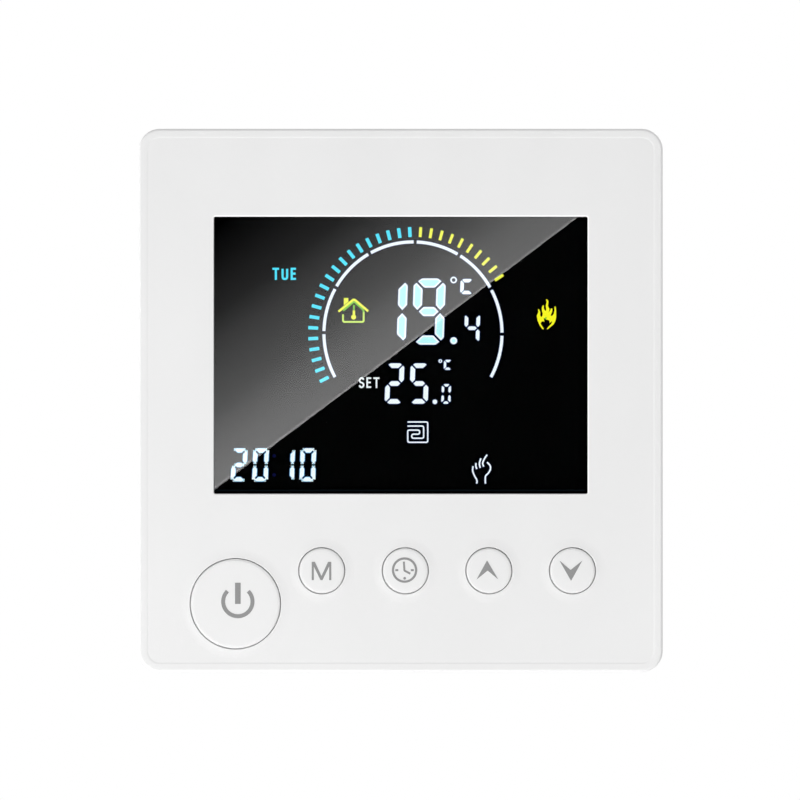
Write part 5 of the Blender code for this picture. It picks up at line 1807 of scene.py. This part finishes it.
    def hand(self) -> None:
        """The sign for setting by hand: four fingers and the sides of a wrist."""
        strokes = (
            [(12.44, -11.3), (12.38, -12.15), (12.72, -13.05), (13.10, -13.75), (13.06, -14.36)],
            [(12.94, -10.75), (12.93, -11.35), (13.11, -11.84)],
            [(13.80, -9.95), (13.54, -10.85), (13.68, -11.65)],
            [(14.88, -9.33), (14.36, -10.12), (14.10, -10.85), (14.30, -11.44)],
            [
                (14.83, -10.63), (15.36, -11.22), (15.42, -11.85), (15.05, -12.55), (14.58, -13.1),
                (14.56, -14.36),
            ],
        )
        lines = [self.line(flowing(points), 0.33) for points in strokes]
        self.show("hand_sign", lines, (HALO, RING), (0.04,))

    def flame(self) -> None:
        """The heating flame: five tongues over a hollow, yellow with a green root."""
        points = [
            (24.55, 12.19), (24.31, 12.33), (23.88, 12.95), (23.55, 13.71), (23.40, 14.57), (23.69, 15.24),
            (23.60, 15.67), (23.79, 15.70), (24.02, 15.14), (23.98, 14.62), (24.17, 14.33), (24.36, 14.52),
            (24.45, 14.90), (24.31, 15.33), (24.26, 15.91), (24.45, 16.37), (24.64, 16.31), (24.60, 15.91),
            (24.74, 15.53), (24.98, 15.38), (25.03, 15.72), (24.96, 16.29), (25.03, 16.67), (25.12, 16.96),
            (24.98, 17.39), (25.22, 17.39), (25.44, 16.96), (25.31, 16.29), (25.60, 15.72), (25.46, 15.14),
            (25.69, 15.43), (25.89, 15.86), (26.12, 15.72), (26.03, 15.24), (25.79, 14.57), (26.03, 14.52),
            (26.31, 14.86), (26.46, 15.43), (26.46, 16.15), (26.65, 16.15), (26.74, 15.33), (26.74, 14.29),
            (26.60, 13.62), (26.27, 13.04), (25.27, 12.23), (25.12, 12.23), (25.27, 12.52), (25.89, 13.14),
            (26.08, 13.62), (25.74, 13.43), (25.60, 13.24), (25.60, 13.71), (25.27, 13.86), (24.98, 13.90),
            (24.79, 14.09), (24.60, 14.19), (24.64, 13.90), (24.74, 13.52), (24.45, 13.62), (24.22, 13.52),
            (24.07, 13.24), (24.22, 12.95), (24.60, 12.38),
        ]
        self.show("heating_flame", [self.shape(rounded(points, 0.06, True, 2))], (FLAME,))
        root = [
            (24.62, 14.02), (24.80, 14.05), (24.99, 13.86), (25.10, 14.12), (25.05, 14.40), (24.86, 14.25)
        ]
        self.show("flame_root", [slab("root", in_mm(root), self.front - 0.01 * MM, self.back)], (GREEN,))

    def house(self) -> None:
        """The home sign: a roof with a chimney over a house with a thermometer."""
        roof = rounded([(-10.72, 15.27), (-8.04, 17.42), (-5.60, 15.33)], 0.35)
        chimney = self.shape([(-9.80, 16.35), (-9.02, 16.95), (-9.02, 17.62), (-9.80, 17.62)])
        bulb = self.dot((-8.11, 14.33), 0.86)
        stem = self.line([(-8.06, 14.5), (-8.06, 15.5)], 0.42)
        self.show("home_roof", [self.line(roof, 0.40), chimney, bulb, stem], (YELLOW,))
        walls = rounded([(-9.94, 14.80), (-9.94, 13.50), (-6.38, 13.50), (-6.38, 15.2)], 0.3)
        self.show("home_walls", [self.line(walls, 0.32)], (LIME,))
        gable = rounded([(-6.38, 15.2), (-6.38, 15.52), (-8.04, 17.0), (-9.90, 15.42)], 0.3)
        tip = self.line([(-8.06, 15.6), (-8.06, 16.4)], 0.3)
        self.show("home_gable", [self.line(gable, 0.3), tip], (GREEN,))

    def module(self) -> None:
        """The lens, the glass and what stands behind it."""
        lens = rounded_block("lens_piece", *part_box("window_lens"), 0.4 * MM, 4, 0.08 * MM)
        fit(lens, self.body, LENS, ["window_lens"])
        refined("lcd_panel", GLASS, 0.05 * MM, 1)
        left, right, height = self.low.x + 1.5 * MM, self.high.x - 1.5 * MM, -15.52 * MM
        line = [(left, height), (right, height)]
        fit(stroke("screen_edge_line", line, 0.2 * MM, self.front, self.back), self.body, FAINT_LINE)
        refined("lcd_holder", HOLDER)
        refined("lcd_connector", RUBBER, 0.15 * MM)
        refined("backlight_guide", GUIDE, 0.1 * MM)
        refined("backlight_reflector", REFLECTOR, 0.04 * MM, 1)
        refined("backlight_led_strip", HOLDER, 0.06 * MM)

    def build(self) -> None:
        """Builds and dresses the whole display."""
        self.module()
        self.gauge()
        self.temperatures()
        self.time()
        self.words()
        self.heating_coil()
        self.hand()
        self.flame()
        self.house()


# Screws


class Drive(Enum):
    """What a screw's head is turned by."""

    CROSS = "cross"
    SLOT = "slot"


@dataclass
class Screw:
    """A threaded screw along y, standing for a node."""

    node: str
    shank: float
    head: float
    head_height: float
    faces_front: bool
    drive: Drive = Drive.CROSS
    pitch: float = 0.8 * MM
    finish: Finish = STEEL
    slot: str = "bright_steel"

    def profile(self, length: float) -> list[Point]:
        """Its outline as (radius, distance from the head's top).

        Args:
            length: its whole length.

        Returns:
            The outline's points.
        """
        dome = [(0.0, 0.0), (0.45, 0.02), (0.75, 0.12), (0.92, 0.32), (1.0, 0.58), (1.0, 0.94), (0.97, 1.0)]
        points = [(self.head * across, self.head_height * along) for across, along in dome]
        root, neck = self.shank - 0.55 * self.pitch, self.shank * 0.96
        taper, at = length - 1.6 * self.shank, self.head_height + self.pitch
        points += [(neck, self.head_height), (neck, at)]
        while at + self.pitch < length - self.pitch / 2:
            share = min(1.0, (length - at) / (length - taper) * 0.8 + 0.2)
            for radius, part in ((root, 0.35), (self.shank, 0.72), (self.shank, 0.86)):
                points.append((radius * share, at + self.pitch * part))
            at += self.pitch
        points += [(root * 0.3, length), (0.0, length)]
        return points

    def build(self) -> None:
        """Builds and dresses the screw."""
        low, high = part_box(self.node)
        way = 1 if self.faces_front else -1
        top = low.y if self.faces_front else high.y
        x, z = middle_of(self.node)
        points = [(radius, top + way * along) for radius, along in self.profile(high.y - low.y)]
        piece = spun(f"{self.node}_piece", points, (x, 0.0, z), 40)
        out, deep = top - way * RUN_PAST, top + way * self.head_height * 0.62
        if self.drive is Drive.SLOT:
            half = 0.35 * MM
            y0, y1 = sorted((out, top + way * self.head_height * 0.45))
            tool = block("slot", (low.x - RUN_PAST, y0, z - half), (high.x + RUN_PAST, y1, z + half))
        else:
            arm, thin = self.head * 0.56, self.head * 0.11
            plus = [(arm, thin), (thin, thin), (thin, arm), (-thin, arm), (-thin, thin), (-arm, thin)]
            plus += [(-u, -v) for u, v in plus]
            tool = slab("recess", [(x + u, z + v) for u, v in plus], out, deep)
            with Editing(tool, everything=False) as edit:
                edit.pick(Kind.FACE, lambda at, _: abs(at.y - deep) < WELD)
                bpy.ops.transform.resize(value=(0.55, 1.0, 0.55), center_override=(x, deep, z))
        combine(piece, tool, Cut.AWAY)
        fit(smooth(piece, 35.0), body_of(self.node), self.finish, [self.node])


# Behind the face


def repeated(piece: Piece, moves: Iterable[Matrix]) -> list[Piece]:
    """Copies of a piece, each with its own mesh and moved in its own way.

    Args:
        piece: the piece, which is used up.
        moves: one move for each copy.

    Returns:
        The copies.
    """
    made = []
    for move in moves:
        copy = piece.copy()
        copy.data = piece.data.copy()
        bpy.context.scene.collection.objects.link(copy)
        copy.matrix_world = move
        made.append(settle(copy))
    bpy.data.objects.remove(piece)
    return made


def turned_about(centre: Vector, degrees: float) -> Matrix:
    """A turn about the y axis through a point, from +x towards +z."""
    turn = Matrix.Rotation(-math.radians(degrees), 4, "Y")
    return Matrix.Translation(centre) @ turn @ Matrix.Translation(-centre)


@dataclass
class DisplayBoard:
    """The board behind the display and all that it carries."""

    body: str = "front_assembly"
    chip_half: float = 5.0 * MM
    legs_per_side: int = 8
    leg_pitch: float = 1.1 * MM
    leg_half: float = 0.24 * MM
    leg_thin: float = 0.08 * MM
    cap_half: float = 0.85 * MM
    core_half: float = 0.52 * MM
    lead_aside: float = 0.6 * MM
    lead_radius: float = 0.2 * MM
    resistors: tuple[Place, ...] = (  # (x, z, turn) in millimetres and degrees
        (-3.5, 12.5, 0), (-3.5, 10.5, 0), (-3.5, 8.5, 0), (-3.5, 2.5, 0), (-24.5, 5, 90), (-26.5, 5, 90),
        (-28.5, 5, 90), (-20, 18, 90), (-17, 18, 90), (6, 4, 0), (9, 4, 0), (12, 4, 0), (15, 4, 0),
        (6, -14, 90), (8.5, -14, 90), (11, -14, 90), (19.5, -34.5, 0), (25.5, -36, 90), (-30, -10, 0),
        (-30, -12, 0), (27, 20, 90), (29.5, 20, 90), (32, 20, 90), (-34, 22, 90), (-31.5, 22, 90),
        (-2, -30, 0), (13, -30, 0), (27, -30, 0),
    )
    capacitors: tuple[Place, ...] = (
        (-3.5, 5.5, 0), (-10, 18, 90), (-7.5, 18, 90), (-24.5, 11, 90), (19.5, 12, 90), (19.5, 8, 90),
        (3, 18, 0), (14, -14, 90), (-30, -14.5, 0), (-3, -18, 90), (-3, -24, 90), (32, 6, 0), (32, 3.5, 0),
        (-36, -30, 90),
    )

    def __post_init__(self) -> None:
        """Reads where the board's back is."""
        self.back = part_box("display_board")[1].y

    def chip(self) -> None:
        """The controller chip with its dimple and bent legs."""
        low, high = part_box("controller_chip")
        x, z = middle_of("controller_chip")
        half = self.chip_half
        piece = block("controller_chip_piece", (x - half, low.y, z - half), (x + half, high.y, z + half))
        soften(piece, 0.18 * MM, 2)
        dimple = in_mm([(0.0, -0.1), (0.45, -0.1), (0.55, 0.0), (0.55, 1.0), (0.0, 1.0)])
        place = (x - half + 1.3 * MM, high.y, z + half - 1.3 * MM)
        combine(piece, spun("dimple", dimple, place, 24), Cut.AWAY)
        fit(smooth(piece), self.body, DARK_PLASTIC, ["controller_chip"])
        middle = (low.y + high.y) / 2
        leg = block(
            "leg",
            (x + half - 0.1 * MM, middle - self.leg_thin, z - self.leg_half),
            (x + half + 0.25 * MM, middle + self.leg_thin, z + self.leg_half),
        )
        with Editing(leg, everything=False) as edit:
            edit.pick(Kind.FACE, lambda _, way: way.x > SQUARE_ON)
            edit.push((0.2 * MM, low.y - middle, 0))
            edit.push((0.5 * MM, 0, 0))
        centre, first = Vector((x, 0, z)), (self.legs_per_side - 1) / 2
        moves = [
            turned_about(centre, quarter * 90) @ Matrix.Translation((0, 0, (index - first) * self.leg_pitch))
            for quarter, index in product(range(4), range(self.legs_per_side))
        ]
        fit(smooth(joined(repeated(leg, moves), "chip_legs")), self.body, TIN)

    def surface_parts(self) -> None:
        """The resistors and capacitors soldered flat on the board."""
        for name, places, width, height, finish in (
            ("resistor", self.resistors, 0.85, 0.45, DARK_PLASTIC),
            ("ceramic_capacitor", self.capacitors, 0.9, 0.8, CERAMIC),
        ):
            moves = [
                Matrix.Translation((x * MM, self.back, z * MM)) @ turned_about(Vector(), turn)
                for x, z, turn in places
            ]
            half, top = width * MM / 2, height * MM
            proud = half + 0.01 * MM
            ends = block("ends", (-self.cap_half, -0.02 * MM, -half), (self.cap_half, top, half))
            core = block("core", (-self.core_half, 0.0, -proud), (self.core_half, top + 0.02 * MM, proud))
            soften(ends, 0.08 * MM, 1)
            soften(core, 0.05 * MM, 1)
            fit(joined(repeated(ends, moves), f"{name}_ends"), self.body, TIN)
            fit(joined(repeated(core, moves), f"{name}_bodies"), self.body, finish)

    def cell(self) -> None:
        """The coin cell and its strap."""
        low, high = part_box("memory_cell")
        x, z = middle_of("memory_cell")
        radius = (high.x - low.x) / 2
        front = in_mm([(0.9, 0.0), (0.75, 0.25), (0.3, 0.3), (0.0, 0.55)])
        rear = in_mm([(0.0, 0.3), (0.1, 0.08), (0.35, 0.0)])
        profile = [(0.0, low.y), *((radius - inward, low.y + along) for inward, along in front)]
        profile += [*((radius - inward, high.y - along) for inward, along in rear), (0.0, high.y)]
        piece = smooth(spun("memory_cell_piece", profile, (x, 0.0, z), 72))
        fit(piece, self.body, CELL_STEEL, ["memory_cell"])
        refined("memory_cell_strap", TIN, 0.12 * MM)

    def sensor(self) -> None:
        """The temperature bead on its two wires."""
        low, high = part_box("room_sensor")
        x, z = middle_of("room_sensor")
        radius = (high.x - low.x) / 2
        centre = high.y - radius
        bead = arc((0.0, centre), radius, -90, 90, 16)
        piece = smooth(spun("room_sensor_piece", bead, (x, 0, z), 32), 60.0)
        fit(piece, self.body, EPOXY, ["room_sensor"])
        wire = [(0.0, self.back), (self.lead_radius, self.back), (self.lead_radius, centre), (0.0, centre)]
        cone = in_mm([(0.0, -0.01), (0.75, 0.0), (0.4, 0.3), (0.22, 0.55), (0.0, 0.55)])
        solder = [(out, self.back + along) for out, along in cone]
        made = []
        for side in (-1, 1):
            place = (x + side * self.lead_aside, 0, z)
            made += [spun("wire", wire, place, 16), spun("solder", solder, place, 24)]
        fit(smooth(joined(made, "room_sensor_wires"), 50.0), self.body, TIN)

    def build(self) -> None:
        """Builds and dresses the board and what it carries."""
        refined("display_board", BOARD, 0.06 * MM, 1)
        self.chip()
        self.surface_parts()
        self.cell()
        self.sensor()
        refined("board_socket", DARK_PLASTIC, 0.08 * MM, 1)
        for key in KEYS:
            refined(f"{key.name}_switch", DARK_PLASTIC, 0.1 * MM, 1)
        for number in (1, 2):
            node = f"display_board_screw_{number}"
            Screw(node, 1.0 * MM, 1.9 * MM, 1.3 * MM, False, pitch=0.6 * MM).build()


@dataclass
class RearHousing:
    """The wall plate with its box, the lid over the box, and the screws of both."""

    body: str = "rear_base"
    mark_radius: float = 2.2 * MM
    mark_depth: float = 0.12 * MM
    label_depth: float = 0.15 * MM
    label: tuple[float, float, float, float] = (-16.0, -4.5, 16.0, 16.5)  # left, low, right, high, in mm
    plate_floor: float = 2.8 * MM  # behind the front of its rim
    arrow_height: float = 0.25 * MM

    def marks(self, back: float) -> Piece:
        """The round marks of the mould's pins and the shallow field for a label, as one tool.

        Args:
            back: the depth of the box's back.

        Returns:
            The tool.
        """
        made = []
        for y, places in (
            (back, ((-20.5, -8.0), (20.5, -8.0), (0.0, 21.5))),
            (0.0, ((-36.0, 38.0), (36.0, 38.0), (-36.0, -38.0), (36.0, -38.0), (0.0, 36.0), (0.0, -36.0))),
        ):
            profile = [(0.0, y - self.mark_depth), (self.mark_radius - 0.1 * MM, y - self.mark_depth)]
            profile += [(self.mark_radius, y), (self.mark_radius, y + RUN_PAST), (0.0, y + RUN_PAST)]
            made += [spun("mark", profile, (x * MM, 0, z * MM), 48) for x, z in places]
        left, low, right, high = (value * MM for value in self.label)
        start, end = (left, back - self.label_depth, low), (right, back + RUN_PAST, high)
        return joined([*made, rounded_block("label", start, end, 1.2 * MM, 6)], "marks")

    def arrow(self) -> Piece:
        """The raised arrow on the plate's front that says which way up it goes.

        Returns:
            The arrow.
        """
        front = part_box("rear_housing")[0].y + self.plate_floor
        foot, wings, tip = 32.0, 36.5, 40.0
        right = [(1.0, foot), (1.0, wings), (2.6, wings)]
        points = [(-1.0, foot), *right, (0.0, tip), (-2.6, wings), (-1.0, wings)]
        return slab("arrow", in_mm(points), front - self.arrow_height, front + 0.5 * MM)

    def build(self) -> None:
        """Builds and dresses the housing and its lid."""
        low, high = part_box("rear_housing")
        piece = copy_of("rear_housing", "rear_housing_piece")
        combine(piece, self.marks(high.y), Cut.AWAY)
        combine(piece, self.arrow(), Cut.ON)
        soften(piece, 0.14 * MM, 2)
        fit(piece, self.body, WHITE_HOUSING, ["rear_housing"])
        refined("inner_cover", WHITE_HOUSING, 0.12 * MM)
        for number in (1, 2):
            Screw(f"inner_cover_screw_{number}", 1.1 * MM, 2.1 * MM, 1.4 * MM, True, pitch=0.75 * MM).build()
        for side in ("left", "right"):
            Screw(f"wall_screw_{side}", 1.9 * MM, 3.7 * MM, 2.4 * MM, True, pitch=1.25 * MM).build()


@dataclass
class PowerUnit:
    """The board in the box, with its pins and its parts."""

    body: str = "rear_base"

    def can(self, node: str) -> None:
        """A capacitor can in its sleeve, crimped near its foot and scored on its top.

        Args:
            node: the node it stands for.
        """
        low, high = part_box(node)
        radius = (high.x - low.x) / 2
        x, z = middle_of(node)
        y, top = low.y, high.y
        profile = [(0.0, y), (radius * 0.95, y), (radius, y + 0.4 * MM), (radius, y + 1.3 * MM)]
        profile += [(radius * 0.93, y + 1.8 * MM), (radius * 0.93, y + 2.1 * MM), (radius, y + 2.6 * MM)]
        profile += [(radius, top - 0.5 * MM), (radius * 0.96, top - 0.1 * MM), (radius * 0.88, top)]
        profile += [(radius * 0.84, top - 0.15 * MM), (0.0, top - 0.15 * MM)]
        piece = spun(f"{node}_piece", profile, (x, 0, z), 64)
        long, thin = radius * 0.6, 0.15 * MM
        for half_x, half_z in ((long, thin), (thin, long)):
            low_corner = (x - half_x, top - 0.35 * MM, z - half_z)
            combine(piece, block("score", low_corner, (x + half_x, top + RUN_PAST, z + half_z)), Cut.AWAY)
        sleeve = Sleeve(f"{node}_sleeve", centre=(x / MM, z / MM))
        fit(smooth(piece), self.body, sleeve, [node])

    def build(self) -> None:
        """Builds and dresses the board and its parts."""
        refined("power_board", POWER_BOARD, 0.06 * MM, 1)
        refined("board_pins", BRASS, 0.06 * MM, 1)
        refined("relay", RELAY_CASE, 0.4 * MM, 3)
        refined("filter_capacitor", CAPACITOR_CASE, 0.4 * MM, 3)
        refined("fuse", DARK_PLASTIC, 0.3 * MM, 3)
        refined("surge_disc", DISC_COATING, 0.25 * MM, 3)
        self.can("small_capacitor")
        self.can("large_capacitor")
        refined("transformer_core", FERRITE, 0.2 * MM)
        refined("transformer_winding", TAPE, 0.2 * MM)


@dataclass
class Terminals:
    """The terminal block with its screws and clamps."""

    ways: int = 6

    def build(self) -> None:
        """Builds and dresses the block, its screws and its clamps."""
        refined("terminal_block", TERMINAL_PLASTIC, 0.12 * MM)
        for number in range(1, self.ways + 1):
            Screw(
                f"terminal_screw_{number}", 1.5 * MM, 2.2 * MM, 2.0 * MM, False, Drive.SLOT, 0.6 * MM, TIN
            ).build()
            refined(f"terminal_clamp_{number}", BRASS, 0.1 * MM, 1)


# The studio


@dataclass
class Lamp:
    """A square soft lamp. Its aim is where the object's middle is."""

    name: str
    azimuth: float
    elevation: float
    level: float
    distance: float = 1.0
    size: float = 0.5

    def build(self) -> None:
        """Makes the lamp."""
        turn, lift = math.radians(self.azimuth), math.radians(self.elevation)
        way = Vector((math.sin(turn) * math.cos(lift), -math.cos(turn) * math.cos(lift), math.sin(lift)))
        lamp = added(bpy.ops.object.light_add, self.name, type="AREA", location=way * self.distance)
        lamp.rotation_mode = "QUATERNION"
        lamp.rotation_quaternion = way.to_track_quat("Z", "Y")
        lamp.data.shape = "SQUARE"
        lamp.data.size = self.size
        lamp.data.energy = self.level * (math.pi * self.distance) ** 2


@dataclass
class Studio:
    """The white surroundings, the lamps, the floor, the striped reflection card and the camera."""

    ambient: float = 0.565
    distance: float = 0.954
    lens: float = 250.0
    aim: Point = (-0.13 * MM, 0.06 * MM)
    floor_drop: float = 0.8
    floor_size: float = 12.0
    floor_fade: Point = (900.0, 4200.0)  # where its fading into white starts and ends, in millimetres
    card_distance: float = 1.3
    card_size: float = 0.14
    card_level: float = 2.28
    card_line: tuple[Point, Point] = ((-32.005, -15.234), (30.545, 31.507))  # where its edge crosses the lens
    card_fade: float = 35.8
    card_rim: Point = (0.05, 0.35)  # where a brighter line runs along that edge
    card_rim_level: float = 0.7
    card_along: Point = (1.028, -0.0035)  # its brightness at the edge's start, and the change per millimetre
    card_stops: tuple[Point, ...] = (
        (0.0, 0.0), (0.12, 0.025), (0.33, 0.105), (0.5, 0.30), (0.68, 0.48), (0.86, 0.86), (0.95, 0.97),
        (1.0, 1.0),
    )
    lamps: tuple[Lamp, ...] = (
        Lamp("lamp_low_left", -48, -44, 0.85, size=0.4),
        Lamp("lamp_high_right", 30, 25, 0.11),
        Lamp("lamp_left", -85, -5, 0.06),
        Lamp("lamp_back_right", 150, 30, 0.20),
        Lamp("lamp_back_left", -140, 12, 0.18),
    )

    def surroundings(self) -> None:
        """A white world, dimmer where it lights the object."""
        world = bpy.data.worlds.new("studio")
        bpy.context.scene.world = world
        graph = Graph(world)
        graph.finish(color=(1.0, 1.0, 1.0), strength=graph.seen() * (1 - self.ambient) + self.ambient)

    def floor(self) -> None:
        """A pale floor under the object, which fades into white far away."""
        at = (0, 0.2, -self.floor_drop)
        piece = settle(added(bpy.ops.mesh.primitive_plane_add, "floor", size=self.floor_size, location=at))
        graph = Graph(bpy.data.materials.new("floor_paper"))
        grain = graph.noise(0.02, 3.0)
        graph.finish(base_color=graph.mix(grain, (0.84, 0.84, 0.84), (0.88, 0.88, 0.88)), roughness=0.7)
        x, y, _ = graph.axes()
        far = ((x * x + y * y) ** 0.5).ease(*self.floor_fade)
        white = graph.node("ShaderNodeEmission", inputs={"Strength": 1.0})
        inputs = {0: graph.seen() * (far * 0.3 + 0.7), 1: Wire(graph, graph.shader.outputs[0]), 2: white}
        piece.data.materials.append(graph.surface(graph.node("ShaderNodeMixShader", inputs=inputs)))

    def card(self) -> None:
        """A black card with a bright corner behind the camera, which only mirrors and glass see."""
        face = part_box("window_lens")[0].y
        grow = (self.distance + self.card_distance) / self.distance
        size, at = self.card_size * grow, (self.aim[0], face - self.card_distance, self.aim[1])
        piece = added(bpy.ops.mesh.primitive_plane_add, "reflection_card", size=size, location=at)
        piece.rotation_euler = (math.radians(90), 0, 0)
        settle(piece)
        graph = Graph(bpy.data.materials.new("reflection_card"))
        x, _, z = graph.axes()
        across = [(wire - aim / MM) * (1 / grow) + aim / MM for wire, aim in zip((x, z), self.aim)]
        (x0, z0), (x1, z1) = self.card_line
        length = math.hypot(x1 - x0, z1 - z0)
        slope = ((z0 - z1) / length, (x1 - x0) / length)
        past = (across[0] - x0) * slope[0] + (across[1] - z0) * slope[1]
        along = (across[0] - x0) * slope[1] - (across[1] - z0) * slope[0]
        share = 1 - past * (1 / self.card_fade)
        fade = graph.node("ShaderNodeValToRGB", {"stops": self.card_stops}, {"Fac": share})
        line = (past > self.card_rim[0]) * (past < self.card_rim[1])
        inside = (past > 0.0) * (past < self.card_fade)
        even = along * self.card_along[1] + self.card_along[0]
        light = inside * (fade + line * self.card_rim_level) * even * self.card_level
        emission = graph.node("ShaderNodeEmission", inputs={"Strength": light})
        piece.data.materials.append(graph.surface(emission))
        for ray in ("camera", "diffuse", "volume_scatter", "shadow"):
            setattr(piece, f"visible_{ray}", False)

    def camera(self) -> None:
        """The camera, square on to the face."""
        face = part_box("front_cover")[0].y
        at, turn = (self.aim[0], face - self.distance, self.aim[1]), (math.radians(90), 0, 0)
        camera = added(bpy.ops.object.camera_add, "Camera", location=at, rotation=turn)
        camera.data.lens = self.lens
        camera.data.sensor_width = 36.0
        camera.data.clip_start, camera.data.clip_end = 0.05, 20.0
        bpy.context.scene.camera = camera

    def build(self) -> None:
        """Sets up the studio."""
        self.surroundings()
        self.floor()
        self.card()
        for lamp in self.lamps:
            lamp.build()
        self.camera()
        bpy.context.scene.view_settings.view_transform = "Standard"


def main() -> None:
    """Builds the thermostat and its studio, and warns of any node left plain."""
    logging.basicConfig(level=logging.INFO, format="%(name)s: %(message)s")
    FrontCover().build()
    for key in KEYS:
        key.build()
    for part in (Display(), DisplayBoard(), RearHousing(), PowerUnit(), Terminals(), Studio()):
        part.build()
    bare = [name for name, node in frame["nodes"].items() if not node.hide_render]
    if bare:
        LOG.warning("still plain: %s", ", ".join(bare))


if __name__ == "__main__":
    main()
